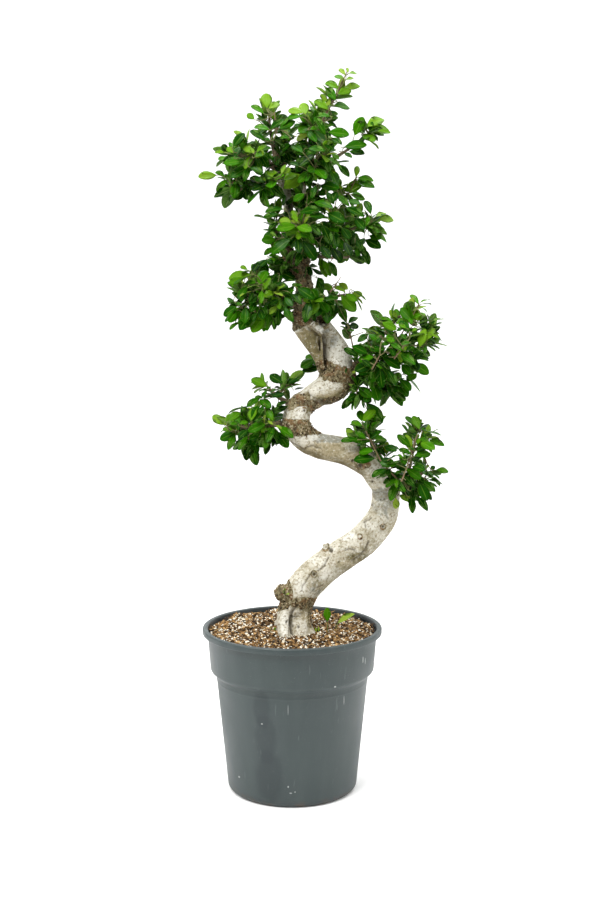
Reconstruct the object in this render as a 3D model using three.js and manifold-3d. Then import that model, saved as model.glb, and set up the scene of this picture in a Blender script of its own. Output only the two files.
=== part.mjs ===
// A compact-leaved ficus trained as an S-shaped bonsai, growing in its round nursery pot.
// Millimetres, +Z up, +X to the viewer's right, +Y away from the viewer.
// The origin is the middle of the flat face under the pot.
import * as THREE from 'three'
import { mergeVertices } from 'three/addons/utils/BufferGeometryUtils.js'
import Module from 'manifold-3d'

const wasm = await Module()
wasm.setup()

// Driving dimensions
const potHeight = 275
const rimRadius = 150
const collarHeight = 70
const footRadius = 109
const potWall = 2.5
const soilDepthBelowRim = 8
const leafLength = 44
const leafWidth = 23
const leafThickness = 0.7
const leafMargin = 0.9
const leafFold = 2
const leafArch = 3
const widestShare = 0.56
const tipWidthShare = 0.36
const leafSizes = [0.84, 1.04]
const whorlLeaves = 5
const whorlTilts = [44, 68, 54, 74, 60]
const tiltSpread = 8
const facesSky = 0.6
const notchRadius = 2.6
const budLength = 5
const fewestLeaves = 3
const twigRadius = 1.9
const twigTaper = 0.4
const twigIntoBud = 0.9
const twigSag = 0.1
const shortestTwig = 14
const leafPastTwig = 0.68
const soilShootSize = 0.5
const clearance = 0.35
const seed = 7

const up = new THREE.Vector3(0, 0, 1)

// The same number for the same index every time, between 0 and 1.
function draw(index) {
  const wave = Math.sin((index + seed) * 12.9898) * 43758.5453
  return wave - Math.floor(wave)
}

const vector = ([x, y, z]) => new THREE.Vector3(x, y, z)

// Turns a closed geometry into a solid that can be joined and cut.
function solid(geometry) {
  const bare = geometry.clone()
  bare.deleteAttribute('normal')
  bare.deleteAttribute('uv')
  const merged = mergeVertices(bare, 1e-3)
  const corners = []
  for (let i = 0; i < merged.index.count; i += 3) {
    const [a, b, c] = [0, 1, 2].map((k) => merged.index.getX(i + k))
    if (a !== b && b !== c && c !== a) corners.push(a, b, c)
  }
  const vertProperties = new Float32Array(merged.attributes.position.array)
  return new wasm.Manifold(new wasm.Mesh({ numProp: 3, vertProperties, triVerts: new Uint32Array(corners) }))
}

function geometryOf(body) {
  const mesh = body.getMesh()
  const geometry = new THREE.BufferGeometry()
  geometry.setAttribute('position', new THREE.BufferAttribute(mesh.vertProperties, 3))
  geometry.setIndex(new THREE.BufferAttribute(mesh.triVerts, 1))
  geometry.computeVertexNormals()
  return geometry
}

const join = (bodies) => bodies.reduce((whole, body) => whole.add(body))

function meshOf(name, body, color, roughness, origin = new THREE.Vector3()) {
  const geometry = geometryOf(body).translate(-origin.x, -origin.y, -origin.z)
  const mesh = new THREE.Mesh(geometry, new THREE.MeshStandardMaterial({ color, roughness, metalness: 0 }))
  mesh.name = name
  mesh.position.copy(origin)
  return mesh
}

// Revolves an outline of [radius, height] pairs about the upright axis.
function revolve(outline, segments) {
  const points = outline.map(([radius, height]) => new THREE.Vector2(radius, height))
  return new THREE.LatheGeometry(points, segments).rotateX(Math.PI / 2)
}

// Pot: a thin-walled round container with a deep collar, a rolled lip and a raised drain channel.
const ledgeTop = potHeight - collarHeight
const lipDepth = 10
const lipOverhang = 8
const collarTopRadius = rimRadius - lipOverhang - 0.5
const collarFootRadius = 137
const bodyTopRadius = 127.5
const bodyTop = ledgeTop - 9
const channelRise = 6
const discRadius = 42
const footRingInner = 90
const drainHoleCount = 6
const potSegments = 28
const drainHoleRadius = 6
const drainCircleRadius = (discRadius + footRingInner) / 2

const potFloor = [
  [0, potWall],
  [discRadius - 1, potWall],
  [discRadius + 5, channelRise + potWall],
  [footRingInner - 5, channelRise + potWall],
  [footRingInner + 1, potWall]
]
const potInnerWall = [
  [footRadius - 9, potWall + 1],
  [footRadius - potWall - 0.5, 10],
  [bodyTopRadius - potWall, bodyTop + 1],
  [collarFootRadius - potWall, ledgeTop + 2],
  [collarTopRadius - potWall, potHeight - lipDepth - 3]
]

function makePot() {
  const outside = [
    [0, 0],
    [discRadius, 0],
    [discRadius + 6, channelRise],
    [footRingInner - 6, channelRise],
    [footRingInner, 0],
    [footRadius - 9, 0],
    [footRadius - 2, 3],
    [footRadius, 10],
    [bodyTopRadius, bodyTop],
    [collarFootRadius, ledgeTop],
    [collarTopRadius, potHeight - lipDepth - 2],
    [rimRadius - 2, potHeight - lipDepth],
    [rimRadius, potHeight - lipDepth + 3],
    [rimRadius, potHeight - 2.5],
    [rimRadius - 2.5, potHeight],
    [rimRadius - 6, potHeight]
  ]
  const inside = [...potInnerWall].reverse()
  const floor = [...potFloor].reverse()
  let body = solid(revolve([...outside, ...inside, ...floor], potSegments))
  for (let i = 0; i < drainHoleCount; i++) {
    const angle = ((i + 0.5) / drainHoleCount) * 2 * Math.PI
    const hole = new THREE.CylinderGeometry(drainHoleRadius, drainHoleRadius, 40, 8).rotateX(Math.PI / 2)
    hole.translate(drainCircleRadius * Math.cos(angle), drainCircleRadius * Math.sin(angle), 0)
    body = body.subtract(solid(hole))
  }
  return body
}

// Soil: fills the pot to just under the rim, in a low uneven mound, with holes where the roots go in.
function makeSoil(woodWithClearance) {
  const soilLine = potHeight - soilDepthBelowRim
  const moundHeight = 5
  const fit = 0.6
  const floor = potFloor.slice(0, 3).map(([radius, height]) => [radius, height + fit])
  const wall = potInnerWall.slice(1).map(([radius, height]) => [radius - fit, height + fit / 2])
  const edge = collarTopRadius - potWall + 1
  const surface = [1, 0.72, 0.38, 0].map((share) => [share * edge, soilLine])
  const geometry = revolve([...floor, ...wall, ...surface], potSegments / 2)
  const position = geometry.attributes.position
  for (let i = 0; i < position.count; i++) {
    const [x, y, z] = [position.getX(i), position.getY(i), position.getZ(i)]
    const radius = Math.hypot(x, y)
    if (Math.abs(z - soilLine) > 0.01 || radius > edge - 1) continue
    const mound = moundHeight * (1 - (radius / edge) ** 2)
    const swells = 2.5 * Math.sin(x * 0.055 + 1) * Math.cos(y * 0.065)
    const lumps = 1.5 * Math.sin(x * 0.13 - y * 0.11)
    position.setZ(i, soilLine + mound + swells + lumps)
  }
  return solid(geometry).subtract(woodWithClearance)
}

// A closed limb along a smooth curve through [x, y, z, radius] stations, slightly out of round.
function limb(stations, sides, steps, extra = 0) {
  const curve = new THREE.CatmullRomCurve3(stations.map(vector), false, 'centripetal')
  const frames = curve.computeFrenetFrames(steps, false)
  const geometry = new THREE.CylinderGeometry(1, 1, 1, sides, steps)
  const position = geometry.attributes.position
  for (let i = 0; i < position.count; i++) {
    const step = Math.round((position.getY(i) + 0.5) * steps)
    const share = curve.getUtoTmapping(step / steps) * (stations.length - 1)
    const before = Math.min(Math.floor(share), stations.length - 2)
    const radius = THREE.MathUtils.lerp(stations[before][3], stations[before + 1][3], share - before)
    const turn = Math.atan2(position.getX(i), position.getZ(i))
    const outOfRound = 0.045 * Math.sin(2 * turn + share * 1.3) + 0.03 * Math.sin(3 * turn - share * 2.1)
    const reach = radius * (1 + outOfRound) + extra
    const end = step === 0 ? -extra : step === steps ? extra : 0
    const point = curve.getPointAt(step / steps)
      .addScaledVector(frames.tangents[step], end)
      .addScaledVector(frames.binormals[step], position.getX(i) * reach)
      .addScaledVector(frames.normals[step], position.getZ(i) * reach)
    position.setXYZ(i, point.x, point.y, point.z)
  }
  return solid(geometry)
}

// Wood: each entry is [sides, steps, stations], thick enough limbs of one grown-together tree.
const serpentine = [
  [10, -22, 300, 22], [10, -20, 316, 25], [18, -16, 342, 28], [35, -12, 362, 28.5], [54, -8, 377, 27.5],
  [84, -2, 397, 26.5], [117, 5, 419, 26.5], [134, 9, 436, 26], [150, 13, 460, 25.5], [155, 14, 488, 24],
  [154, 14, 509, 23.5], [145, 12, 525, 23], [129, 8, 545, 22], [107, 2, 560, 21], [87, -3, 571, 20.5],
  [39, -12, 584, 19], [16, -16, 598, 21], [7, -18, 618, 23], [12, -15, 643, 21.5], [26, -9, 654, 19.5],
  [45, -3, 666, 22], [60, 3, 674, 26], [75, 8, 694, 27], [76, 8, 708, 22]
]
const roots = [
  [8, 4, [[2, -24, 332, 11], [-8, -30, 308, 10], [-14, -40, 290, 10], [-12, -54, 272, 10], [0, -72, 245, 8]]],
  [8, 4, [[13, -20, 322, 18], [15, -26, 300, 17], [15, -34, 284, 16], [15, -44, 268, 15],
    [18, -54, 248, 12]]],
  [5, 2, [[22, -34, 288, 8], [34, -44, 270, 6], [44, -54, 252, 4.5]]],
  [5, 2, [[18, -42, 276, 7], [28, -60, 260, 5.5], [34, -72, 244, 4]]],
  [6, 3, [[14, -14, 320, 17], [18, 4, 296, 13], [25, 22, 272, 11], [31, 36, 246, 8]]],
  [6, 3, [[2, -14, 314, 12], [-14, 0, 290, 9], [-26, 12, 266, 8], [-34, 24, 244, 6]]]
]
const fusedLimbs = [
  [8, 6, [[62, 0, 692, 14], [48, -6, 718, 11.5], [37, -8, 737, 11.5], [29, -6, 754, 15], [24, -2, 771, 17],
    [21, 0, 792, 19]]],
  [8, 6, [[76, 8, 700, 22], [76, 8, 722, 21.5], [69, 6, 746, 16], [58, 4, 767, 12], [42, 2, 784, 13],
    [26, 0, 799, 15]]],
  [8, 4, [[21, 0, 786, 18], [22, 0, 808, 18.5], [21, 0, 830, 15], [19, 0, 850, 13], [10, 0, 870, 12]]],
  [6, 6, [[14, 0, 856, 11], [-4, 0, 885, 9.5], [-9, 0, 922, 8.5], [-6, 2, 970, 8], [-13, 2, 1001, 8],
    [-22, 0, 1034, 10]]],
  [6, 4, [[14, 0, 856, 10], [21, -2, 880, 8.5], [23, -3, 922, 8], [15, -3, 978, 7.5], [16, -2, 1000, 7]]]
]
const scars = [
  [5, 1, [[60, -6, 385, 6], [55, -8, 416, 5]]],
  [8, 1, [[42, 2, 778, 11], [45, -20, 772, 10]]],
  [8, 3, [[6, -18, 328, 18], [-8, -20, 333, 16.5], [-19, -21, 334, 14], [-27, -21, 331, 7]]],
  [4, 2, [[-12, -20, 322, 6], [-21, -26, 303, 4], [-20, -34, 262, 3.5]]],
  [3, 2, [[34, -4, 766, 2.2], [50, -7, 737, 1.7], [54, -6, 712, 2.2]]]
]

// Foliage: each bough grows from the wood and bears sprays, in order from its foot to its end.
// A spray is the list of points that the furthest leaf of each of its shoots reaches.
const boughs = [
  {
    name: 'crown_leader',
    path: [[16, -2, 990, 7], [22, 0, 1022, 6.5], [32, 4, 1062, 5.5], [48, 4, 1098, 4], [58, 0, 1126, 3]],
    sprays: [
      [[62, -88, 1032], [34, -98, 1002]],
      [[24, -80, 1096]],
      [[18, -18, 1132], [32, 98, 1110]],
      [[97, 0, 1176], [60, 10, 1142]]
    ]
  },
  {
    name: 'crown_right',
    path: [[20, 0, 1012, 6], [62, 4, 1040, 5], [100, 0, 1064, 3]],
    sprays: [
      [[125, -5, 1004]],
      [[125, 28, 1078], [112, -25, 1046], [80, 96, 1050]],
      [[162, 0, 1110]]
    ]
  },
  {
    name: 'crown_left',
    path: [[-22, 0, 1026, 8], [-55, -4, 1044, 5.5], [-92, 0, 1050, 3.5]],
    sprays: [
      [[-58, -84, 1050]],
      [[-88, 0, 1086]],
      [[-134, 0, 1056], [-85, 82, 1060]]
    ]
  },
  {
    name: 'crown_upper_left',
    path: [[-22, 0, 1028, 6.5], [-32, 8, 1072, 4.5], [-36, 4, 1104, 3]],
    sprays: [
      [[-42, -8, 1152], [-24, 58, 1128]]
    ]
  },
  {
    name: 'crown_low_left',
    path: [[-12, 2, 1000, 6], [-48, 4, 1000, 4.5], [-88, 0, 994, 3]],
    sprays: [
      [[-15, -96, 1008], [-44, -70, 982]],
      [[-78, -24, 974]],
      [[-145, 0, 1010], [-108, 14, 982]]
    ]
  },
  {
    name: 'middle_right',
    path: [[22, -3, 905, 6.5], [62, 0, 922, 5], [108, 0, 934, 3.5]],
    sprays: [
      [[58, -84, 938]],
      [[120, 18, 980], [88, 88, 958]],
      [[165, 0, 950], [146, -20, 928]]
    ]
  },
  {
    name: 'middle_low',
    path: [[22, -2, 890, 5.5], [60, -5, 886, 4], [92, 0, 886, 3]],
    sprays: [
      [[66, -26, 860]],
      [[145, 6, 902], [122, 0, 874]]
    ]
  },
  {
    name: 'middle_left',
    path: [[-8, 0, 915, 6], [-30, -4, 927, 3.5]],
    sprays: [
      [[-50, 0, 902]],
      [[-45, 0, 964], [-20, -58, 968]]
    ]
  },
  {
    name: 'middle_front',
    path: [[23, -3, 910, 5.5], [20, -34, 928, 3.5]],
    sprays: [
      [[8, -98, 930]]
    ]
  },
  {
    name: 'middle_back',
    path: [[22, -2, 918, 5.5], [18, 34, 930, 3.5]],
    sprays: [
      [[5, 102, 930]]
    ]
  },
  {
    name: 'left_out',
    path: [[20, 0, 802, 8], [-15, -5, 816, 6], [-52, 0, 820, 4.5], [-80, 0, 812, 3]],
    sprays: [
      [[-30, -82, 840]],
      [[-32, -24, 766]],
      [[-80, 0, 876], [-48, 82, 846]],
      [[-110, 0, 844]],
      [[-112, 0, 790]]
    ]
  },
  {
    name: 'left_right',
    path: [[20, 0, 812, 6], [55, 0, 820, 4.5], [86, 0, 826, 3]],
    sprays: [
      [[24, -82, 818]],
      [[90, -14, 790], [44, 82, 826]],
      [[125, 0, 822]]
    ]
  },
  {
    name: 'right_out',
    path: [[82, 6, 705, 9], [120, 5, 718, 6.5], [160, 0, 734, 5], [200, 0, 744, 3.5]],
    sprays: [
      [[130, -72, 712]],
      [[182, -72, 744]],
      [[225, 0, 694], [198, 72, 730]],
      [[255, 0, 750], [250, 0, 786]]
    ]
  },
  {
    name: 'right_up',
    path: [[116, 5, 716, 6], [148, 0, 760, 4.5], [174, 0, 792, 3]],
    sprays: [
      [[104, -10, 792]],
      [[155, -14, 806], [138, 70, 772]],
      [[190, 0, 832], [220, -4, 816]]
    ]
  },
  {
    name: 'right_down',
    path: [[108, 5, 712, 6], [140, 0, 690, 4.5], [165, 0, 674, 3]],
    sprays: [
      [[76, -20, 646]],
      [[140, -10, 652], [192, 8, 656]]
    ]
  },
  {
    name: 'lower_left_out',
    path: [[2, -16, 614, 9], [-40, -12, 616, 6.5], [-72, -6, 612, 4.5], [-90, -2, 608, 3]],
    sprays: [
      [[-40, -78, 610]],
      [[-18, -28, 572]],
      [[-92, 0, 644], [-70, 62, 625]],
      [[-68, 0, 552]],
      [[-137, 0, 626], [-118, -10, 582]]
    ]
  },
  {
    name: 'lower_left_up',
    path: [[4, -14, 644, 7], [-28, -5, 664, 4.5], [-40, 0, 676, 3]],
    sprays: [
      [[20, 0, 706]],
      [[-56, 8, 692]]
    ]
  },
  {
    name: 'lower_right_out',
    path: [[156, 12, 500, 8], [185, 8, 518, 5.5], [214, 4, 532, 4]],
    sprays: [
      [[160, -68, 536]],
      [[190, -6, 466]],
      [[238, 0, 498], [214, 68, 516]],
      [[260, 0, 540]]
    ]
  },
  {
    name: 'lower_right_up',
    path: [[140, 10, 528, 7], [148, 6, 554, 4.5], [130, 0, 588, 3]],
    sprays: [
      [[88, -12, 602]],
      [[114, -4, 648], [142, 4, 644]]
    ]
  },
  {
    name: 'lower_right_tall',
    path: [[188, 8, 520, 5], [198, 3, 556, 3.5], [202, 0, 584, 2.6]],
    sprays: [
      [[200, -4, 632], [250, 0, 588]]
    ]
  }
]

function makeWood(extra = 0) {
  const entries = [[12, 32, serpentine], ...roots, ...fusedLimbs, ...scars]
  const parts = entries.map(([sides, steps, stations]) => limb(stations, sides, steps, extra))
  const branches = boughs.map(({ path }) => limb(path, 4, path.length - 1, extra))
  return join([...parts, ...branches])
}

// Small shoots that come up out of the soil beside the trunk: foot, then the point that the leaves reach.
const soilShoots = [
  { name: 'soil_shoot_upright', foot: [58, -30, 250], reach: [55, -32, 312] },
  { name: 'soil_shoot_arched', foot: [74, -5, 250], reach: [98, -8, 304] }
]

const pair = (point, normal, thickness) => ({
  top: point.clone().addScaledVector(normal, thickness / 2),
  bottom: point.clone().addScaledVector(normal, -thickness / 2)
})

// A thin closed plate: each point has a top and a bottom, rim goes round the edge, faces tile the top.
function plate(points, rim, faces) {
  const count = points.length
  const positions = [...points.map(({ top }) => top), ...points.map(({ bottom }) => bottom)]
  const index = faces.flatMap(([a, b, c]) => [a, b, c, c + count, b + count, a + count])
  rim.forEach((a, i) => {
    const b = rim[(i + 1) % rim.length]
    index.push(a + count, b + count, b, a + count, b, a)
  })
  const geometry = new THREE.BufferGeometry().setFromPoints(positions)
  geometry.setIndex(index)
  return solid(geometry)
}

// The four outer corners of a leaf: widest past its middle with raised edges, then a blunt, lowered end.
function leafCorners(leaf, grow = 0) {
  const side = new THREE.Vector3().crossVectors(leaf.face, leaf.along)
  const outline = [
    [-1, widestShare, leafFold],
    [-tipWidthShare, 1, -leafArch],
    [tipWidthShare, 1, -leafArch],
    [1, widestShare, leafFold]
  ]
  return outline.map(([across, share, lift]) => pair(
    leaf.base.clone()
      .addScaledVector(leaf.along, share * leaf.length + (share === 1 ? grow : 0))
      .addScaledVector(side, across * (leaf.width / 2 + grow))
      .addScaledVector(leaf.face, lift),
    leaf.face,
    leafThickness + 2 * grow
  ))
}

// One leaf by itself, grown on all sides, to test whether it would touch anything.
function leafEnvelope(leaf) {
  const foot = pair(leaf.base, leaf.face, leafThickness + 2 * leafMargin)
  return plate([foot, ...leafCorners(leaf, leafMargin)], [0, 1, 2, 3, 4], [[0, 1, 2], [0, 2, 3], [0, 3, 4]])
}

// The leaves round the end of a shoot, joined in one thin plate that parts at notches close round the bud.
function whorl({ tip, heading, flat, upright }, leaves) {
  const points = []
  leaves.forEach((leaf, i) => {
    const before = i ? leaves[i - 1].azimuth : leaves[leaves.length - 1].azimuth - 2 * Math.PI
    const azimuth = (before + leaf.azimuth) / 2
    const notch = tip.clone()
      .addScaledVector(flat, Math.cos(azimuth) * notchRadius)
      .addScaledVector(upright, Math.sin(azimuth) * notchRadius)
    points.push(pair(notch, heading, leafThickness), ...leafCorners(leaf))
  })
  const rim = points.map((_, i) => i)
  const middle = points.length
  points.push({
    top: tip.clone().addScaledVector(heading, budLength),
    bottom: tip.clone().addScaledVector(heading, -leafThickness / 2)
  })
  const faces = leaves.flatMap((_, i) => {
    const [notch, left, leftEnd, rightEnd, right] = [0, 1, 2, 3, 4].map((k) => 5 * i + k)
    const next = (5 * i + 5) % middle
    return [[notch, left, leftEnd], [notch, leftEnd, rightEnd], [notch, rightEnd, next],
      [next, rightEnd, right], [middle, notch, next]]
  })
  return plate(points, rim, faces)
}

// A shoot runs from its foot to just short of where its furthest leaf reaches, and turns up at its end.
function shootTo(foot, reach, size) {
  const span = reach.clone().sub(foot)
  const length = Math.max(span.length() - leafPastTwig * leafLength * size, shortestTwig)
  const end = foot.clone().addScaledVector(span.normalize(), length)
  const middle = foot.clone().lerp(end, 0.55).addScaledVector(up, -twigSag * length)
  const curve = new THREE.QuadraticBezierCurve3(foot, middle, end)
  const heading = curve.getTangent(1)
  const flat = new THREE.Vector3().crossVectors(up, heading).normalize()
  const upright = new THREE.Vector3().crossVectors(heading, flat)
  return { curve, tip: end, heading, flat, upright, size }
}

// Leaf number `order` of a shoot's whorl. A variant turns it, tilts it and shrinks it to keep it clear.
function leafOn(shoot, order, index, [turn, tiltMore, shrink]) {
  const azimuth = (order + draw(index)) * 2 * Math.PI / whorlLeaves + turn
  const tilt = THREE.MathUtils.degToRad(whorlTilts[order] + tiltSpread * draw(index + order + 0.5) + tiltMore)
  const along = shoot.heading.clone().multiplyScalar(Math.cos(tilt))
    .addScaledVector(shoot.flat, Math.cos(azimuth) * Math.sin(tilt))
    .addScaledVector(shoot.upright, Math.sin(azimuth) * Math.sin(tilt))
    .normalize()
  const face = shoot.heading.clone().addScaledVector(up, facesSky)
  face.addScaledVector(along, -face.dot(along)).normalize()
  const size = THREE.MathUtils.lerp(...leafSizes, draw(index + order + 0.25)) * shoot.size * shrink
  return { base: shoot.tip, along, face, azimuth, length: leafLength * size, width: leafWidth * size }
}

function twigSolid({ curve, heading }, radius, steps) {
  const stations = Array.from({ length: steps + 1 }, (_, i) => {
    const point = curve.getPoint(i / steps)
    if (i === steps) point.addScaledVector(heading, twigIntoBud)
    return [...point.toArray(), radius * (1 - twigTaper * i / steps)]
  })
  return limb(stations, 3, steps)
}

function footOn(path, share) {
  const curve = new THREE.CatmullRomCurve3(path.map(vector), false, 'centripetal')
  return curve.getPointAt(share)
}

// Every spray's foot and shoots: the first shoot springs from the foot, the others fork from it on the way.
function planSprays() {
  const lastFootShare = 0.98
  const footSpread = 0.62
  const plans = []
  for (const { name, path, sprays } of boughs) {
    sprays.forEach((reaches, i) => {
      const share = lastFootShare - footSpread * (sprays.length - 1 - i) / sprays.length
      plans.push({ name: `${name}_spray_${i + 1}`, foot: footOn(path, share), reaches, size: 1 })
    })
  }
  for (const { name, foot, reach } of soilShoots) {
    plans.push({ name, foot: vector(foot), reaches: [reach], size: soilShootSize })
  }
  const [firstFork, nextFork, forkThickness] = [0.35, 0.2, 0.8]
  for (const plan of plans) {
    const main = shootTo(plan.foot, vector(plan.reaches[0]), plan.size)
    const forks = plan.reaches.slice(1)
      .map((reach, i) => shootTo(main.curve.getPoint(firstFork + nextFork * i), vector(reach), plan.size))
    plan.shoots = [main, ...forks]
    plan.twigs = [
      twigSolid(main, twigRadius, 3),
      ...forks.map((fork) => twigSolid(fork, twigRadius * forkThickness, 2))
    ]
    plan.whorls = []
  }
  return plans
}

const boxed = (body) => ({ body, box: body.boundingBox() })

function crosses(body, others) {
  const { min, max } = body.boundingBox()
  const near = ({ box }) => [0, 1, 2].every((k) => min[k] < box.max[k] && box.min[k] < max[k])
  return others.some((other) => near(other) && !body.intersect(other.body).isEmpty())
}

// Puts the leaves on every shoot, each held so that it stays clear of the wood, the pot and all other shoots.
function leafOut(plans, obstacles) {
  const held = [[0, 0], [0.2, 0], [-0.2, 0], [0, 12], [0.22, 16], [-0.22, 16], [0, 26], [0.25, -10],
    [-0.25, -10], [0.2, 34], [-0.2, 34]]
  const variants = [1, 0.75, 0.55]
    .flatMap((shrink) => held.map(([turn, tiltMore]) => [turn, tiltMore, shrink]))
  const taken = plans.flatMap(({ shoots, twigs }) =>
    twigs.map((twig, i) => ({ ...boxed(twig), shoot: shoots[i] })))
  plans.forEach((plan, planIndex) => {
    plan.shoots.forEach((shoot, shootIndex) => {
      const others = [...obstacles, ...taken.filter((other) => other.shoot !== shoot)]
      const index = planIndex * 10 + shootIndex
      const leaves = []
      for (let order = 0; order < whorlLeaves; order++) {
        const leaf = variants.map((variant) => leafOn(shoot, order, index, variant))
          .find((candidate) => !crosses(leafEnvelope(candidate), others))
        if (leaf) leaves.push(leaf)
      }
      if (leaves.length < fewestLeaves) return
      const body = whorl(shoot, leaves)
      plan.whorls.push(body)
      taken.push({ ...boxed(body), shoot })
    })
  })
}

function biggestPiece(body) {
  return body.decompose().reduce((best, piece) => (piece.volume() > best.volume() ? piece : best))
}

const wood = makeWood()
const woodWithClearance = makeWood(clearance)
const pot = makePot()
const plans = planSprays()
const soilHoles = plans.slice(-soilShoots.length).map(({ shoots }) =>
  limb([0, 0.5, 1].map((t) => [...shoots[0].curve.getPoint(t).toArray(), 2 * twigRadius]), 6, 2, clearance))
const soil = biggestPiece(soilHoles.reduce((body, hole) => body.subtract(hole), makeSoil(woodWithClearance)))
leafOut(plans, [woodWithClearance, soil, pot].map(boxed))

const group = new THREE.Group()
const tree = new THREE.Group()
group.add(meshOf('pot', pot, '#55676a', 0.5))
group.add(meshOf('soil', soil, '#6d4a34', 0.95))
tree.add(meshOf('trunk', wood, '#c9c0a8', 0.8))
for (const { name, foot, twigs, whorls } of plans) {
  const spray = biggestPiece(join([...twigs, ...whorls]).subtract(woodWithClearance))
  tree.add(meshOf(name, spray, '#2f6b22', 0.4, foot))
}
group.add(tree)

export default group
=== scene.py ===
import math
import random

import bmesh
import bpy
import numpy as np
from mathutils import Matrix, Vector, noise


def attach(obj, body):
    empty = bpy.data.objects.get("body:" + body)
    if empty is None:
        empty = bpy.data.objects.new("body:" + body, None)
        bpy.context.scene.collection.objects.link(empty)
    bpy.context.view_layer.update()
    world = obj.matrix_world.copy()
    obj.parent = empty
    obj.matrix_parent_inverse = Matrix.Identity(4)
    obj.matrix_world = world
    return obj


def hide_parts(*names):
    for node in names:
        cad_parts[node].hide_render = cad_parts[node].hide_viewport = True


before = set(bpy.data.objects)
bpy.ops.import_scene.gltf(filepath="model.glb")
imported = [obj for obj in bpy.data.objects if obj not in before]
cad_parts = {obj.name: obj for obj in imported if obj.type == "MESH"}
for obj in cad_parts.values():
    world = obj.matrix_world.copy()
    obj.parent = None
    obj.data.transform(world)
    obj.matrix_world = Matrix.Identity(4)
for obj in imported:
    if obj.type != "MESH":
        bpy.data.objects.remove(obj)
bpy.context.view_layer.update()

mm = 0.001
up = Vector((0, 0, 1))
seed = 7


def draw(index):  # the same number between 0 and 1 for the same index
    wave = math.sin((index + seed) * 12.9898) * 43758.5453
    return wave - math.floor(wave)


# Node trees, for shaders and for geometry alike

class Sock:  # a socket of a node tree: arithmetic on it adds Math or Vector Math nodes
    def __init__(self, tree, out):
        self.tree = tree
        self.out = out

    def make(self, kind, settings=None, inputs=None, out=0):
        node = self.tree.nodes.new(kind)
        for key, value in (settings or {}).items():
            if key == "stops":
                fillRamp(node.color_ramp, value)
            else:
                setattr(node, key, value)
        for key, value in (inputs or {}).items():
            if isinstance(value, Sock):
                self.tree.links.new(value.out, node.inputs[key])
            else:
                node.inputs[key].default_value = value
        return Sock(self.tree, node.outputs[out])

    def port(self, key):  # another output of the same node
        return Sock(self.tree, self.out.node.outputs[key])

    def calc(self, operation, a, b):
        sides = [a, b]
        if any(isinstance(side, Sock) and side.out.type == "VECTOR" for side in sides):
            sides = [(side,) * 3 if isinstance(side, (int, float)) else side for side in sides]
            return self.make("ShaderNodeVectorMath", {"operation": operation}, dict(enumerate(sides)))
        return self.make("ShaderNodeMath", {"operation": operation}, dict(enumerate(sides)))

    def __add__(self, other):
        return self.calc("ADD", self, other)

    def __radd__(self, other):
        return self.calc("ADD", other, self)

    def __sub__(self, other):
        return self.calc("SUBTRACT", self, other)

    def __rsub__(self, other):
        return self.calc("SUBTRACT", other, self)

    def __mul__(self, other):
        return self.calc("MULTIPLY", self, other)

    def __rmul__(self, other):
        return self.calc("MULTIPLY", other, self)

    def __gt__(self, other):
        return self.calc("GREATER_THAN", self, other)

    def wave(self, operation="SINE"):
        return self.make("ShaderNodeMath", {"operation": operation}, {0: self})

    def size(self):
        return self.make("ShaderNodeMath", {"operation": "ABSOLUTE"}, {0: self})

    def fade(self, start, end, low=0.0, high=1.0):  # smooth step from low at start to high at end
        inputs = {"Value": self, "From Min": start, "From Max": end, "To Min": low, "To Max": high}
        return self.make("ShaderNodeMapRange", {"interpolation_type": "SMOOTHSTEP"}, inputs)

    def ramp(self, stops):
        return self.make("ShaderNodeValToRGB", {"stops": stops}, {0: self})

    def mix(self, first, second):  # colours, with this socket as the factor
        settings = {"data_type": "RGBA", "clamp_factor": True}
        return self.make("ShaderNodeMix", settings, {0: self, 6: colour(first), 7: colour(second)}, 2)


def colour(value):
    return value if isinstance(value, Sock) or len(value) == 4 else (*value, 1.0)


def fillRamp(ramp, stops):
    while len(ramp.elements) < len(stops):
        ramp.elements.new(1.0)
    for element, (place, value) in zip(ramp.elements, stops):
        element.position = place
        element.color = colour(value)


def newMaterial(name, fixed):
    made = bpy.data.materials.new(name)
    made.use_nodes = True
    shader = made.node_tree.nodes["Principled BSDF"]
    for key, value in fixed.items():
        shader.inputs[key].default_value = value
    shader = Sock(made.node_tree, shader.outputs[0])
    return made, shader, shader.make("ShaderNodeTexCoord", out="Object")


def feed(shader, links):
    for key, value in links.items():
        shader.tree.links.new(value.out, shader.out.node.inputs[key])


def grain(start, place, scale, detail=3.0, roughness=0.55, stretch=None):
    if stretch:
        place = start.make("ShaderNodeMapping", None, {"Vector": place, "Scale": stretch})
    inputs = {"Vector": place, "Scale": scale, "Detail": detail, "Roughness": roughness}
    return start.make("ShaderNodeTexNoise", None, inputs)


def attribute(shader, name, out="Fac"):
    return shader.make("ShaderNodeAttribute", {"attribute_name": name}, None, out)


def bumps(height, strength, distance):
    inputs = {"Strength": strength, "Distance": distance, "Height": height}
    return height.make("ShaderNodeBump", None, inputs)


def newTree(name, inputs):  # inputs by label, with a number to start with or the kind of socket
    tree = bpy.data.node_groups.new(name, "GeometryNodeTree")
    tree.interface.new_socket("Geometry", in_out="OUTPUT", socket_type="NodeSocketGeometry")
    tree.interface.new_socket("Geometry", in_out="INPUT", socket_type="NodeSocketGeometry")
    kinds = {int: "NodeSocketInt", float: "NodeSocketFloat"}
    for label, value in inputs.items():
        item = tree.interface.new_socket(label, in_out="INPUT", socket_type=kinds.get(type(value), value))
        if type(value) in kinds:
            item.default_value = value
    return tree, Sock(tree, tree.nodes.new("NodeGroupInput").outputs["Geometry"])


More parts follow.
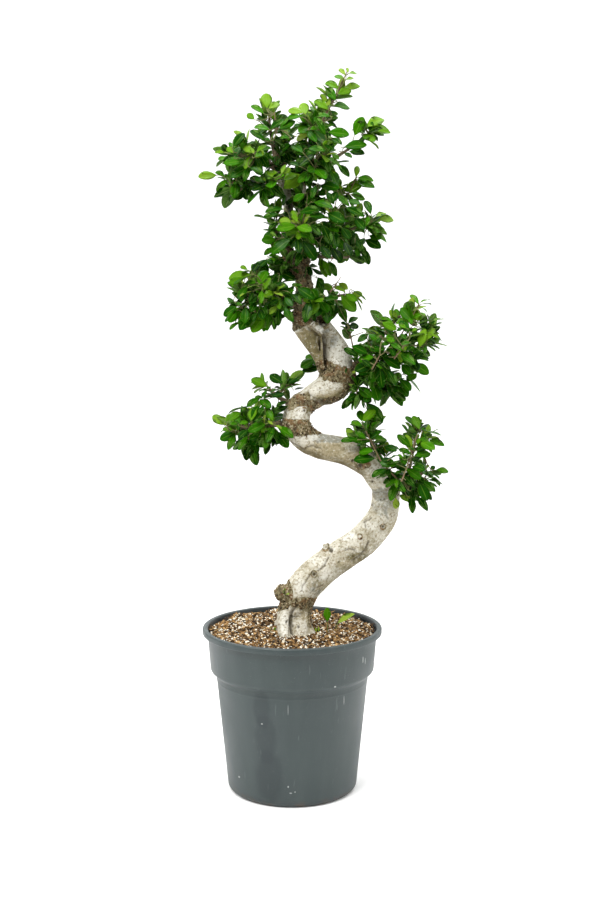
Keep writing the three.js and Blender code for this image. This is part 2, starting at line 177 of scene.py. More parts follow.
def endTree(result, material):
    result = result.make("GeometryNodeRealizeInstances", None, {"Geometry": result})
    result = result.make("GeometryNodeSetMaterial", None, {"Geometry": result, "Material": material})
    last = result.tree.nodes.new("NodeGroupOutput")
    result.tree.links.new(result.out, last.inputs["Geometry"])


def named(start, name, kind="FLOAT"):
    return start.make("GeometryNodeInputNamedAttribute", {"data_type": kind}, {"Name": name})


def store(points, name, value):
    inputs = {"Geometry": points, "Name": name, "Value": value}
    return points.make("GeometryNodeStoreNamedAttribute", {"data_type": "FLOAT", "domain": "POINT"}, inputs)


def chance(start, low, high, key, kind="FLOAT"):  # a random value for each point
    first, second, out = {"FLOAT_VECTOR": (0, 1, 0), "FLOAT": (2, 3, 1), "INT": (4, 5, 2)}[kind]
    inputs = {first: low, second: high, "Seed": key}
    return start.make("FunctionNodeRandomValue", {"data_type": kind}, inputs, out)


def upward(value):
    return value.make("ShaderNodeCombineXYZ", None, {"Z": value})


def given(start, label, asInstance=False):  # the geometry of an object that is an input of the tree
    inputs = {"Object": start.port(label), "As Instance": asInstance}
    return start.make("GeometryNodeObjectInfo", {"transform_space": "ORIGINAL"}, inputs, "Geometry")


def choices(start, labels):  # input objects as instances to pick from, in this order
    joined = start.make("GeometryNodeJoinGeometry")
    for label in reversed(labels):
        start.tree.links.new(given(start, label, True).out, joined.out.node.inputs[0])
    return joined


def tubeTree(name, material):  # round tubes along open lines of edges
    tree, start = newTree(name, {"Sides": 6})
    path = start.make("GeometryNodeMeshToCurve", None, {"Mesh": start})
    ring = {"Resolution": start.port("Sides"), "Radius": 1.0}
    ring = start.make("GeometryNodeCurvePrimitiveCircle", None, ring)
    tube = start.make("GeometryNodeCurveToMesh", None, {
        "Curve": path, "Profile Curve": ring, "Scale": named(start, "thickness"), "Fill Caps": True})
    tube = start.make("GeometryNodeSetShadeSmooth", None, {"Geometry": tube, "Shade Smooth": True})
    endTree(tube, material)
    return tree


def runTree(host, tree, values):
    modifier = host.modifiers.new(tree.name, "NODES")
    modifier.node_group = tree
    for item in tree.interface.items_tree:
        if item.in_out == "INPUT" and item.name in values:
            modifier[item.identifier] = values[item.name]


# Meshes and finished pieces

def link(name, mesh):
    made = bpy.data.objects.new(name, mesh)
    bpy.context.scene.collection.objects.link(made)
    return made


def plainPiece(host, name):  # the evaluated object as a plain mesh, with the host gone
    bpy.context.view_layer.update()
    graph = bpy.context.evaluated_depsgraph_get()
    shown = host.evaluated_get(graph)
    mesh = bpy.data.meshes.new_from_object(shown, preserve_all_data_layers=True, depsgraph=graph)
    host.modifiers.clear()
    bpy.data.objects.remove(host)
    mesh.name = name
    return link(name, mesh)


def place(piece, slotName, nodes=()):
    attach(piece, "root")
    if nodes:
        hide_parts(*nodes)
    faces = sum(len(face.vertices) - 2 for face in piece.data.polygons)
    print(f"{piece.name}: {faces} triangles")


def smooth(mesh):
    mesh.polygons.foreach_set("use_smooth", np.ones(len(mesh.polygons), bool))


def arc(centre, radius, start, end, steps):
    angles = [math.radians(start + (end - start) * i / steps) for i in range(steps + 1)]
    return [[centre[0] + radius * math.cos(a), centre[1] + radius * math.sin(a)] for a in angles]


def revolved(name, outline, segments):  # outline runs from axis to axis, as [radius, height] in mm
    mesh = bpy.data.meshes.new(name)
    verts = []
    rings = []
    for radius, height in outline:
        if radius < 1e-6:
            rings.append([len(verts)] * segments)
            verts.append((0, 0, height * mm))
            continue
        rings.append(list(range(len(verts), len(verts) + segments)))
        for i in range(segments):
            angle = i / segments * math.tau
            verts.append((radius * mm * math.cos(angle), radius * mm * math.sin(angle), height * mm))
    faces = []
    for low, high in zip(rings, rings[1:]):
        for i in range(segments):
            j = (i + 1) % segments
            corners = [low[i], low[j], high[j], high[i]]
            faces.append(list(dict.fromkeys(corners)))
    mesh.from_pydata(verts, [], faces)
    smooth(mesh)
    return mesh


def polylines(name, lines, facts):  # open lines as edges, with a number or a vector for each point
    verts = [point for line in lines for point in line]
    edges = []
    count = 0
    for line in lines:
        edges += [(count + i, count + i + 1) for i in range(len(line) - 1)]
        count += len(line)
    mesh = bpy.data.meshes.new(name)
    mesh.from_pydata(verts, edges, [])
    for key, values in facts.items():
        if isinstance(values[0], Vector):
            flat = [number for value in values for number in value]
            mesh.attributes.new(key, "FLOAT_VECTOR", "POINT").data.foreach_set("vector", flat)
        else:
            mesh.attributes.new(key, "FLOAT", "POINT").data.foreach_set("value", values)
    return link(name, mesh)


def smoothPath(stations, steps):  # a centripetal curve through [x, y, z, radius], with its radii
    points = [Vector(station[:3]) for station in stations]
    points = [2 * points[0] - points[1], *points, 2 * points[-1] - points[-2]]
    made = []
    for k in range(steps + 1):
        share = (len(stations) - 1) * k / steps
        i = min(int(share), len(stations) - 2)
        w = share - i
        before, start, end, after = points[i:i + 4]
        d0, d1, d2 = [max((b - a).length, 1e-6) ** 0.5 for a, b in zip(points[i:i + 3], points[i + 1:])]
        m1 = ((start - before) / d0 - (end - before) / (d0 + d1) + (end - start) / d1) * d1
        m2 = ((end - start) / d1 - (after - start) / (d1 + d2) + (after - end) / d2) * d1
        point = start + m1 * w + (3 * (end - start) - 2 * m1 - m2) * w ** 2
        point += (2 * (start - end) + m1 + m2) * w ** 3
        radius = stations[i][3] + (stations[i + 1][3] - stations[i][3]) * w
        made.append((point, radius))
    return made


# Camera, floor and light

cameraFacts = {"place": (0.013, -2.130, 0.820), "lookDown": 6.65, "lens": 52}
photoFacts = {"width": 600, "height": 900, "sensor": 36}  # the frame in pixels, and the sensor in mm
lightFacts = {
    "key": {"place": (-1.4, -1.7, 2.9), "size": 1.8, "power": 112},
    "fill": {"place": (2.0, -1.3, 1.9), "size": 1.8, "power": 24},
    "top": {"place": (0.2, 0.5, 3.1), "size": 1.8, "power": 64},
}
# The paper on the floor bends up all round. It is darker from shadeStart to shadeEnd, behind the camera
sweepFacts = {
    "flat": 2.7, "bend": 1.3, "height": 3.6, "segments": 96, "world": 1.2, "lit": (0.05, 0, 0.6),
    "paper": [(0.9, 0.9, 0.895), (0.93, 0.93, 0.925)], "behindCamera": (0.12, 0.12, 0.12),
    "shadeStart": -0.8, "shadeEnd": -1.6,
}


def whole(place):  # a place in whole mm
    return Vector([round(value) for value in place])


def seenAt(column, row, y):  # the place in mm where a pixel of the photo meets the depth y
    tilt = math.radians(cameraFacts["lookDown"])
    focal = cameraFacts["lens"] / photoFacts["sensor"] * photoFacts["height"]
    right = (column - photoFacts["width"] / 2) / focal
    rise = (photoFacts["height"] / 2 - row) / focal
    x, ahead, z = (value / mm for value in cameraFacts["place"])
    away = (y - ahead) / (math.cos(tilt) + rise * math.sin(tilt))
    return Vector((x + right * away, y, z + (rise * math.cos(tilt) - math.sin(tilt)) * away))


def makeStage():
    camera = link("camera", bpy.data.cameras.new("camera"))
    camera.data.lens = cameraFacts["lens"]
    camera.data.clip_start = 0.05
    camera.location = cameraFacts["place"]
    camera.rotation_euler = (math.radians(90 - cameraFacts["lookDown"]), 0, 0)
    bpy.context.scene.camera = camera
    for name, facts in lightFacts.items():
        light = bpy.data.lights.new(name, "AREA")
        light.size = facts["size"]
        light.energy = facts["power"]
        lamp = link(name, light)
        lamp.location = facts["place"]
        lamp.rotation_euler = (Vector(sweepFacts["lit"]) - lamp.location).to_track_quat("-Z", "Y").to_euler()
    world = bpy.data.worlds.new("studio")
    world.use_nodes = True
    background = world.node_tree.nodes["Background"]
    background.inputs["Color"].default_value = (1.0, 1.0, 1.0, 1.0)
    background.inputs["Strength"].default_value = sweepFacts["world"]
    bpy.context.scene.world = world
    bpy.context.scene.view_settings.view_transform = "Standard"
    f = sweepFacts
    flat, bend = f["flat"] / mm, f["bend"] / mm
    outline = [[0, 0]] + arc([flat, bend], bend, -90, 0, 16) + [[flat + bend, f["height"] / mm]]
    mesh = revolved("paper_sweep", outline, f["segments"])
    mesh.flip_normals()
    floor = link("paper_sweep", mesh)
    paper, shader, spot = newMaterial("paper", {"Roughness": 0.9, "Specular IOR Level": 0.1})
    white = grain(shader, spot, 3.0).mix(*f["paper"])
    depth = shader.make("ShaderNodeSeparateXYZ", None, {0: spot}).port("Y")
    behind = depth.fade(f["shadeStart"], f["shadeEnd"])
    feed(shader, {"Base Color": behind.mix(white, f["behindCamera"])})
    mesh.materials.append(paper)


# Pot

potFacts = {
    "height": 275, "rim": 150, "ledge": 205, "collarTop": 141.5, "collarFoot": 137, "bodyTop": 127.5,
    "foot": 109, "footBend": 10, "wall": 2.5, "segments": 144, "holes": 6, "holeRadius": 6, "holeCircle": 66,
    "underside": [[0, 0], [42, 0], [45, 2.5], [48, 6], [84, 6], [87, 2.5], [90, 0]],
    "channel": [47, 85, 6, 6],  # the raised ring of the floor: its radii, its height and its slopes
    "ringHeights": [(187, 0.5), (171, 0.4)], "ringWidth": 1.1,  # two faint moulded rings under the step
    # Where the painted shade inside the rim and the earth at the foot fade in, in metres, and squares of
    # metres for a radius
    "paintedShadeSquares": (0.0206, 0.0199), "paintedShadeHeights": (0.262, 0.266), "earthHeights": (0.016, 0.002),
    "smears": [  # darker runs of water: [place], [half sizes]
        ([-48, -113, 170], [16, 40, 34]), ([-42, -112, 120], [20, 40, 45]), ([-36, -107, 55], [24, 40, 50])],
    "specks": [
        ([69, -119, 206], [1.6, 9, 1.4]), ([-48, -113, 143], [1.3, 9, 1.2]), ([-87, -70, 39], [1.5, 9, 1.5]),
        ([-6, -112, 38], [1.2, 9, 1.6]), ([-2, -111, 27], [2.2, 9, 0.9]), ([5, -111, 29], [1.0, 9, 1.0]),
        ([136, -24, 220], [1.6, 9, 1.2]), ([115, -79, 239], [0.6, 9, 6.0]), ([119, -74, 235], [0.4, 9, 6.0]),
        ([84, -93, 176], [0.4, 9, 8.0]), ([-6, -125, 170], [0.35, 9, 9.0])],
}


def fromPlace(shader, spot, at, size):  # distance from a place in mm, with 1 at the given half sizes
    offset = (spot - tuple(value * mm for value in at)) * tuple(1 / (value * mm) for value in size)
    return shader.make("ShaderNodeVectorMath", {"operation": "LENGTH"}, {0: offset}, "Value")


def potMaterial():
    made, shader, spot = newMaterial("pot plastic", {"IOR": 1.48})
    broad = grain(shader, spot, 9, 4)
    streaks = grain(shader, spot, 6, 3, stretch=(6, 6, 0.8))
    fine = grain(shader, spot, 420, 3, 0.7)
    base = (broad * 0.6 + streaks * 0.4).ramp([
        (0.3, (0.026, 0.038, 0.039)), (0.5, (0.034, 0.048, 0.048)), (0.72, (0.046, 0.062, 0.06))])
    split = shader.make("ShaderNodeSeparateXYZ", None, {0: spot})
    flow = grain(shader, spot, 30, 4) * 0.6
    wet = None
    for at, size in potFacts["smears"]:
        patch = (fromPlace(shader, spot, at, size) + flow).fade(1.4, 0.9)
        wet = patch if wet is None else wet + patch
    base = (wet * 0.75).mix(base, (0.018, 0.028, 0.03))
    for at, size in potFacts["specks"]:
        base = (fromPlace(shader, spot, at, size).fade(1.1, 0.8) * 0.8).mix(base, (0.4, 0.42, 0.4))
    dust = grain(shader, spot, 900, 2, 0.8).fade(0.66, 0.74) * grain(shader, spot, 60, 2).fade(0.42, 0.62)
    base = (dust * 0.6).mix(base, (0.3, 0.33, 0.31))
    scuff = grain(shader, spot, 28, 2, 0.5, (5, 5, 0.55)).fade(0.69, 0.73)
    base = (scuff * 0.16).mix(base, (0.2, 0.23, 0.22))
    x, y, z = (split.port(side) for side in "XYZ")
    # painted shade: the pot's inside above the potting mix is coloured nearly black
    paintedShade = (x * x + y * y).fade(*potFacts["paintedShadeSquares"]) * z.fade(*potFacts["paintedShadeHeights"])
    base = (paintedShade * 0.75).mix(base, (0.008, 0.011, 0.012))
    earth = z.fade(*potFacts["earthHeights"]) * grain(shader, spot, 70, 4).fade(0.42, 0.62)
    base = (earth * 0.7).mix(base, (0.07, 0.05, 0.034))
    bump = bumps(fine + scuff, 0.25, 0.0006)
    rough = broad.fade(0.3, 0.7, 0.42, 0.58) + scuff * 0.1
    feed(shader, {"Base Color": base, "Roughness": rough, "Normal": bump})
    return made


def makePot():
    f = potFacts
    h, rim, wall = f["height"], f["rim"], f["wall"]
    bend = f["footBend"]
    outside = f["underside"] + [[f["foot"] - bend, 0]] + arc([f["foot"] - bend, bend], bend, -90, -8, 8)
    z = 14.0
    while z < f["ledge"] - 12:
        near = max(lift * math.exp(-((z - at) / f["ringWidth"]) ** 2) for at, lift in f["ringHeights"])
        outside.append([f["foot"] + (f["bodyTop"] - f["foot"]) * (z - bend) / (f["ledge"] - 19) + near, z])
        z += 1.2 if any(abs(z - at) < 4 for at, _ in f["ringHeights"]) else 8
    outside += [[f["bodyTop"] - 0.3, f["ledge"] - 10.5], [f["bodyTop"] + 0.4, f["ledge"] - 8.5]]
    outside += [[f["bodyTop"] + 4.5, f["ledge"] - 5], [f["collarFoot"] - 1, f["ledge"] - 1.2]]
    outside += [[f["collarFoot"] - 0.2, f["ledge"] + 0.4], [f["collarFoot"] + 0.2, f["ledge"] + 3]]
    outside += [[f["collarTop"] - 1, h - 24], [f["collarTop"], h - 13], [f["collarTop"] + 0.8, h - 11]]
    outside += [[rim - 2.6, h - 10.2]] + arc([rim - 2, h - 8], 2, -80, 0, 4)
    outside += arc([rim - 2.6, h - 2.6], 2.6, 0, 90, 5) + arc([rim - 6.5, h - 2.5], 2.5, 90, 160, 4)
    inside = [[rim - 9.6, h - 6], [f["collarTop"] - wall, h - 13], [f["collarFoot"] - wall, f["ledge"] + 2]]
    inside += [[f["bodyTop"] - wall, f["ledge"] - 8]]
    inside += [[f["foot"] - wall - 0.5, bend], [f["foot"] - bend + 1, wall + 1]]
    low, high, rise, slope = f["channel"]
    inside += [[high + slope, wall], [high, rise + wall], [low, rise + wall], [low - slope, wall], [0, wall]]
    body = link("pot_wall", revolved("pot_wall", outside + inside, f["segments"]))
    drills = bmesh.new()
    for i in range(f["holes"]):
        angle = (i + 0.5) / f["holes"] * math.tau
        radius = f["holeRadius"] * mm
        made = bmesh.ops.create_cone(
            drills, cap_ends=True, segments=24, radius1=radius, radius2=radius, depth=0.04)
        spot = Vector((math.cos(angle), math.sin(angle), 0)) * f["holeCircle"] * mm
        bmesh.ops.translate(drills, verts=made["verts"], vec=spot)
    tool = link("drills", bpy.data.meshes.new("drills"))
    drills.to_mesh(tool.data)
    drills.free()
    cut = body.modifiers.new("holes", "BOOLEAN")
    cut.operation = "DIFFERENCE"
    cut.object = tool
    pot = plainPiece(body, "nursery_pot")
    bpy.data.objects.remove(tool)
    pot.data.materials.clear()
    pot.data.materials.append(potMaterial())
    pot.data.set_sharp_from_angle(angle=math.radians(50))
    place(pot, "pot_plastic", ["pot"])


# Potting mix

soilFacts = {
    "line": 267, "mound": 5, "edge": 140, "segments": 120, "bedLow": 262, "bedEdge": 133.5, "bitEdge": 134,
    "outline": [[0, 3.1], [41, 3.1], [47, 9.1], [84, 9.1], [106, 12], [124.4, 196], [134, 207], [138.4, 264]],
    "shares": [1, 0.985, 0.965, 0.94] + [0.91 - 0.035 * i for i in range(26)] + [0],
}
# Loose bits: three shapes by their sizes in mm, how far they are from boxes, their number in the pot, and
# the range of their scale, their lift and how far they lean
looseBits = {
    "bark_chips": {
        "sizes": [(9, 4, 1.8), (7, 5, 2.2), (12, 3, 1.6)], "square": 0.7, "number": 5200,
        "scale": [0.45, 1.25], "lift": 0.8, "seed": 3, "tip": 0.7},
    "perlite_grains": {
        "sizes": [(4.4, 3.6, 3.0), (3.6, 4.2, 3.2), (5.2, 3.2, 3.0)], "square": 0.9, "number": 1900,
        "scale": [0.3, 1.25], "lift": 1.2, "seed": 11, "tip": 3.1},
    "coir_straws": {
        "sizes": [(20, 1.6, 1.2), (15, 2.2, 1.2), (24, 1.4, 1.0)], "square": 0.8, "number": 620,
        "scale": [0.5, 1.1], "lift": 1.8, "seed": 21, "tip": 0.35},
}


def soilHeight(x, y):  # in mm
    radius = math.hypot(x, y)
    lift = soilFacts["mound"] * (1 - (radius / soilFacts["edge"]) ** 2)
    lift += 2.5 * math.sin(x * 0.055 + 1) * math.cos(y * 0.065) + 1.5 * math.sin(x * 0.13 - y * 0.11)
    lift += 2.2 * noise.noise(Vector((x, y, 3)) * 0.05) + 1.5 * noise.noise(Vector((x, y, 9)) * 0.16)
    return soilFacts["line"] + lift


def soilMaterial(name, stops, gloss):
    made, shader, spot = newMaterial(name, {"Specular IOR Level": 0.25})
    tone = attribute(shader, "bitTone")
    fibre = grain(shader, spot, 700, 4, 0.7)
    base = (tone * 0.75 + fibre * 0.25).ramp(stops)
    bump = bumps(fibre, 0.5, 0.0006)
    rough = fibre.fade(0.2, 0.8, gloss, gloss + 0.15)
    feed(shader, {"Base Color": base, "Roughness": rough, "Normal": bump})
    return made


def bitMesh(name, size, index, squareness):  # a small lump with 8 corners pulled about, sized in mm
    mesh = bpy.data.meshes.new(name)
    build = bmesh.new()
    bmesh.ops.create_icosphere(build, subdivisions=1, radius=0.5)
    for k, vert in enumerate(build.verts):
        pull = 0.72 + 0.5 * draw(index * 50 + k)
        flat = [math.copysign(abs(c) ** squareness, c) for c in vert.co]
        vert.co = Vector((flat[0] * size[0], flat[1] * size[1], flat[2] * size[2])) * pull * mm
    build.to_mesh(mesh)
    build.free()
    return mesh


def scatterTree(name, material, tip):  # tip is how far the bits lean, in radians
    tree, start = newTree(name, {
        "Bit A": "NodeSocketObject", "Bit B": "NodeSocketObject", "Bit C": "NodeSocketObject",
        "Density": 1.0, "Smallest": 0.5, "Largest": 1.0, "Lift": 0.0, "Seed": 1})
    key = start.port("Seed")
    points = start.make("GeometryNodeDistributePointsOnFaces", {"distribute_method": "RANDOM"}, {
        "Mesh": start, "Selection": named(start, "bed") > 0.5,
        "Density": start.port("Density"), "Seed": key})
    lift = upward(start.port("Lift"))
    points = start.make("GeometryNodeSetPosition", None, {"Geometry": points, "Offset": lift})
    points = store(points, "bitTone", chance(start, 0.0, 1.0, 5))
    placed = start.make("GeometryNodeInstanceOnPoints", None, {
        "Points": points, "Instance": choices(start, ["Bit A", "Bit B", "Bit C"]), "Pick Instance": True,
        "Instance Index": chance(start, 0, 2, 9, "INT"),
        "Rotation": chance(start, (-tip, -tip, -3.15), (tip, tip, 3.15), key, "FLOAT_VECTOR"),
        "Scale": chance(start, start.port("Smallest"), start.port("Largest"), key + 1)})
    endTree(placed, material)
    return tree


def scatter(name, bedMesh, finish, slotName, facts):
    host = link(name + "_host", bedMesh.copy())
    bits = []
    for i, size in enumerate(facts["sizes"]):
        bits.append(link(f"{name}_{i}", bitMesh(name, size, facts["seed"] + i, facts["square"])))
    runTree(host, scatterTree(name, finish, facts["tip"]), {
        "Bit A": bits[0], "Bit B": bits[1], "Bit C": bits[2], "Density": facts["density"],
        "Smallest": facts["scale"][0], "Largest": facts["scale"][1], "Lift": facts["lift"] * mm,
        "Seed": facts["seed"]})
    piece = plainPiece(host, name)
    for bit in bits:
        bpy.data.objects.remove(bit)
    place(piece, slotName)


def makeSoil():
    f = soilFacts
    rings = [[share * f["edge"] * 0.985, f["line"]] for share in f["shares"]]
    mesh = revolved("potting_mix", f["outline"] + rings, f["segments"])
    for vert in mesh.vertices:
        if vert.co.z > (f["line"] - 1) * mm:
            vert.co.z = soilHeight(vert.co.x / mm, vert.co.y / mm) * mm
    bed = mesh.attributes.new("bed", "FLOAT", "POINT")
    low, edge = f["bedLow"] * mm, f["bedEdge"] * mm
    bed.data.foreach_set("value", [float(v.co.z > low and v.co.xy.length < edge) for v in mesh.vertices])
    soil = link("potting_mix", mesh)
    mesh.materials.append(soilMaterial("peat", [
        (0.2, (0.018, 0.011, 0.007)), (0.5, (0.07, 0.038, 0.02)), (0.8, (0.15, 0.085, 0.045))], 0.85))
    bark = soilMaterial("bark chips", [
        (0.14, (0.012, 0.007, 0.003)), (0.36, (0.05, 0.026, 0.009)), (0.54, (0.14, 0.076, 0.025)),
        (0.72, (0.27, 0.148, 0.05)), (0.94, (0.49, 0.325, 0.14))], 0.75)
    white = soilMaterial("perlite", [
        (0.0, (0.58, 0.5, 0.33)), (0.45, (0.8, 0.75, 0.6)), (1.0, (0.93, 0.92, 0.85))], 0.8)
    area = math.pi * (f["bitEdge"] * mm) ** 2
    for name, facts in looseBits.items():
        finish = white if name == "perlite_grains" else bark
        scatter(name, mesh, finish, "potting_mix", facts | {"density": facts["number"] / area})
    place(soil, "potting_mix", ["soil"])


# Wood

woodFacts = {
    "sides": 20, "voxel": 1.56, "smoothing": 4, "relief": {"Lumps": 3.2, "Ripples": 2.0, "Pores": 0.8},
    "boughVoxel": 1.5, "boughRelief": {"Lumps": 1.6, "Ripples": 1.6, "Pores": 0.5},
    "facing": 0.3, "frontOf": 14, "slit": (5, 10), "roughLift": 2.4, "boughSlimness": 0.72,
    "crumbs": {
        "sizes": [(3.4, 2.4, 1.8), (2.6, 2.6, 2.0), (4.2, 1.8, 1.6)], "square": 0.8, "density": 60000,
        "scale": [0.5, 1.2], "lift": 0.0, "seed": 41, "tip": 3.1},
}
mainStem = [
    [10, -22, 300, 22], [10, -20, 316, 25], [18, -16, 342, 28], [35, -12, 362, 28.5], [54, -8, 377, 27.5],
    [84, -2, 397, 26.5], [117, 5, 419, 26.5], [134, 9, 436, 26], [151, 13, 460, 25], [156, 14, 488, 23.5],
    [155, 14, 509, 23], [145, 12, 525, 23], [129, 8, 545, 22], [107, 2, 559.5, 22.6],
    [87, -3, 569.5, 22.8], [39, -12, 582.5, 21.6], [16, -16, 598, 21.8], [7, -18, 618, 23],
    [12, -15, 643, 21.5], [26, -9, 654, 19.5], [45, -3, 666, 22], [61, 3, 674, 27], [77, 8, 692, 29],
    [77, 8, 708, 23],
]
legsAndRoots = [
    [[2, -24, 332, 11], [-8, -30, 308, 10], [-14, -40, 290, 10], [-12, -54, 272, 10], [0, -72, 245, 8]],
    [[6, -16, 314, 12], [4, -25, 292, 11], [3, -36, 270, 11], [4, -44, 250, 10]],
    [[13, -20, 322, 18], [15, -26, 300, 17], [15, -34, 284, 16], [15, -44, 268, 15], [18, -54, 248, 12]],
    [[22, -34, 288, 8], [34, -44, 270, 6], [44, -54, 252, 4.5]],
    [[18, -42, 276, 7], [28, -60, 260, 5.5], [34, -72, 244, 4]],
    [[14, -14, 320, 17], [18, 4, 296, 13], [25, 22, 272, 11], [31, 36, 246, 8]],
    [[2, -14, 314, 12], [-14, 0, 290, 9], [-26, 12, 266, 8], [-34, 24, 244, 6]],
]
upperStem = [
    [[52, 4, 696, 6], [45, 0, 713, 4.6], [39.5, -4, 726, 6.6], [34.5, -6, 738, 9.2], [30, -7, 749, 12.2],
     [25.5, -6, 761, 16.4], [21, -2, 773, 19], [20, 0, 792, 20]],
    [[56, 14, 700, 12], [50, 15, 724, 12], [46, 13, 750, 12], [38, 8, 780, 14]],
    [[76, 8, 700, 22.5], [77, 8, 718, 22.6], [73.2, 6, 738, 18.6], [67.2, 5, 754, 13.6], [59.5, 4, 768, 10.8],
     [44, 2, 784, 12], [28, 0, 799, 14]],
    [[21, 0, 786, 18], [22, 0, 808, 18.5], [21, 0, 830, 15], [19, 0, 850, 13], [10, 0, 870, 12]],
    [[14, 0, 856, 11], [-4, 0, 885, 9.5], [-9, 0, 922, 8.5], [-6, 2, 970, 8], [-13, 2, 1001, 8],
     [-22, 0, 1034, 10]],
    [[14, 0, 856, 10], [21, -2, 880, 8.5], [23, -3, 922, 8], [15, -3, 978, 7.5], [16, -2, 1000, 7]],
]
stubsAndScars = [
    [[60, -6, 385, 6], [55, -8, 416, 5]],
    [[42, 2, 778, 11], [45, -20, 772, 10]],
    [[6, -18, 328, 18], [-8, -20, 333, 16.5], [-19, -21, 334, 14], [-27, -21, 331, 7]],
    [[-12, -20, 322, 6], [-21, -26, 303, 4], [-20, -34, 262, 3.5]],
    [[44, -9, 770, 2], [47.5, -7, 752, 2], [48.5, -6, 735, 2], [49, -6, 718, 2.2], [50, -8, 706, 2.4]],
    [[29, -18, 783, 3.8], [39, -24, 774, 4.4], [51, -25, 763, 3.2]],
]

# Each bough grows from the wood and bears sprays. A spray lists where the last leaf of each shoot reaches.
boughs = {
    "crown_leader": {
        "path": [
            [16, -2, 990, 7], [22, 0, 1022, 6.5], [32, 4, 1062, 5.5], [48, 4, 1098, 4], [58, 0, 1126, 3]],
        "sprays": [
            [[62, -88, 1032], [34, -98, 1002]], [[24, -80, 1096]], [[18, -18, 1132], [32, 98, 1110]],
            [[97, 14, 1176], [60, 10, 1142]]],
    },
    "crown_right": {
        "path": [[20, 0, 1012, 6], [62, 4, 1040, 5], [100, 0, 1064, 3]],
        "sprays": [[[48, -66, 1012]], [[125, 28, 1086], [88, -20, 1068], [68, 96, 1064]], [[152, 14, 1100]]],
    },
    "crown_left": {
        "path": [[-22, 0, 1026, 8], [-55, -4, 1044, 5.5], [-92, 0, 1050, 3.5]],
        "sprays": [[[-58, -84, 1050]], [[-72, 14, 1092]], [[-112, 14, 1052], [-85, 82, 1060]]],
    },
    "crown_upper_left": {
        "path": [[-22, 0, 1028, 6.5], [-32, 8, 1072, 4.5], [-36, 4, 1104, 3]],
        "sprays": [[[-41, 6, 1140], [-24, 58, 1128]]],
    },
    "crown_low_left": {
        "path": [[-12, 2, 1000, 6], [-48, 4, 1000, 4.5], [-88, 0, 994, 3]],
        "sprays": [
            [[-15, -96, 1008], [-44, -70, 982]], [[-78, -24, 994]], [[-132, 14, 1012], [-98, 14, 1002]]],
    },
    "middle_right": {
        "path": [[22, -3, 905, 6.5], [62, 0, 922, 5], [108, 0, 934, 3.5]],
        "sprays": [[[58, -84, 938]], [[120, 18, 980], [88, 88, 958]], [[158, 14, 946], [146, -20, 928]]],
    },
    "middle_low": {
        "path": [[22, -2, 890, 5.5], [60, -5, 886, 4], [92, 0, 886, 3]],
        "sprays": [[[44, -20, 884]], [[118, 6, 930], [84, 14, 908]]],
    },
    "middle_left": {
        "path": [[-8, 0, 915, 6], [-30, -4, 927, 3.5]],
        "sprays": [[[-28, 14, 906]], [[-26, 14, 958], [-20, -58, 968]]],
    },
    "middle_front": {"path": [[23, -3, 910, 5.5], [20, -34, 928, 3.5]], "sprays": [[[8, -98, 930]]]},
    "middle_back": {"path": [[22, -2, 918, 5.5], [18, 34, 930, 3.5]], "sprays": [[[5, 102, 930]]]},
    "left_out": {
        "path": [[20, 0, 802, 8], [-15, -5, 816, 6], [-52, 0, 820, 4.5], [-80, 0, 812, 3]],
        "sprays": [
            [[-30, -82, 840]], [[-32, -24, 766]], [[-78, 14, 872], [-48, 82, 846]], [[-90, 14, 840]],
            [[-98, 14, 790]]],
    },
    "left_right": {
        "path": [[20, 0, 812, 6], [55, 0, 820, 4.5], [86, 0, 826, 3]],
        "sprays": [[[24, -82, 818]], [[76, -10, 800], [44, 82, 826]], [[125, 14, 822]]],
    },
    "right_out": {
        "path": [[82, 6, 705, 9], [120, 5, 718, 6.5], [160, 0, 734, 5], [200, 0, 744, 3.5]],
        "sprays": [
            [[130, -72, 712]], [[182, -72, 744]], [[218, 14, 700], [198, 72, 730]],
            [[248, 14, 750], [236, 14, 788]]],
    },
    "right_up": {
        "path": [[116, 5, 716, 6], [148, 0, 760, 4.5], [174, 0, 792, 3]],
        "sprays": [[[112, -10, 752]], [[160, -10, 780], [138, 70, 772]], [[206, 14, 800], [220, -4, 816]]],
    },
    "right_down": {
        "path": [[108, 5, 712, 6], [140, 0, 690, 4.5], [165, 0, 674, 3]],
        "sprays": [[[76, -20, 646]], [[132, -10, 672], [206, 4, 674]]],
    },
    "lower_left_out": {
        "path": [[2, -16, 614, 9], [-40, -12, 616, 6.5], [-72, -6, 612, 4.5], [-90, -2, 608, 3]],
        "sprays": [
            [[-40, -78, 610]], [[-18, -28, 580]], [[-82, 14, 640], [-70, 62, 625]], [[-62, 14, 554]],
            [[-132, 14, 622], [-96, -10, 590]]],
    },
    "lower_left_up": {
        "path": [[4, -14, 644, 7], [-28, -5, 664, 4.5], [-40, 0, 676, 3]],
        "sprays": [[[24, 14, 700]], [[-44, 8, 682]]],
    },
    "lower_right_out": {
        "path": [[156, 12, 500, 8], [185, 8, 518, 5.5], [214, 4, 532, 4]],
        "sprays": [[[160, -68, 536]], [[190, -6, 478]], [[238, 14, 498], [214, 68, 516]], [[260, 14, 540]]],
    },
    "lower_right_up": {
        "path": [[140, 10, 528, 7], [148, 6, 554, 4.5], [130, 0, 588, 3]],
        "sprays": [[[88, -12, 602]], [[122, -4, 640], [142, 4, 652]]],
    },
    "lower_right_tall": {
        "path": [[188, 8, 520, 5], [198, 3, 556, 3.5], [202, 0, 584, 2.6]],
        "sprays": [[[200, -4, 638], [252, 14, 592]]],
    },
}
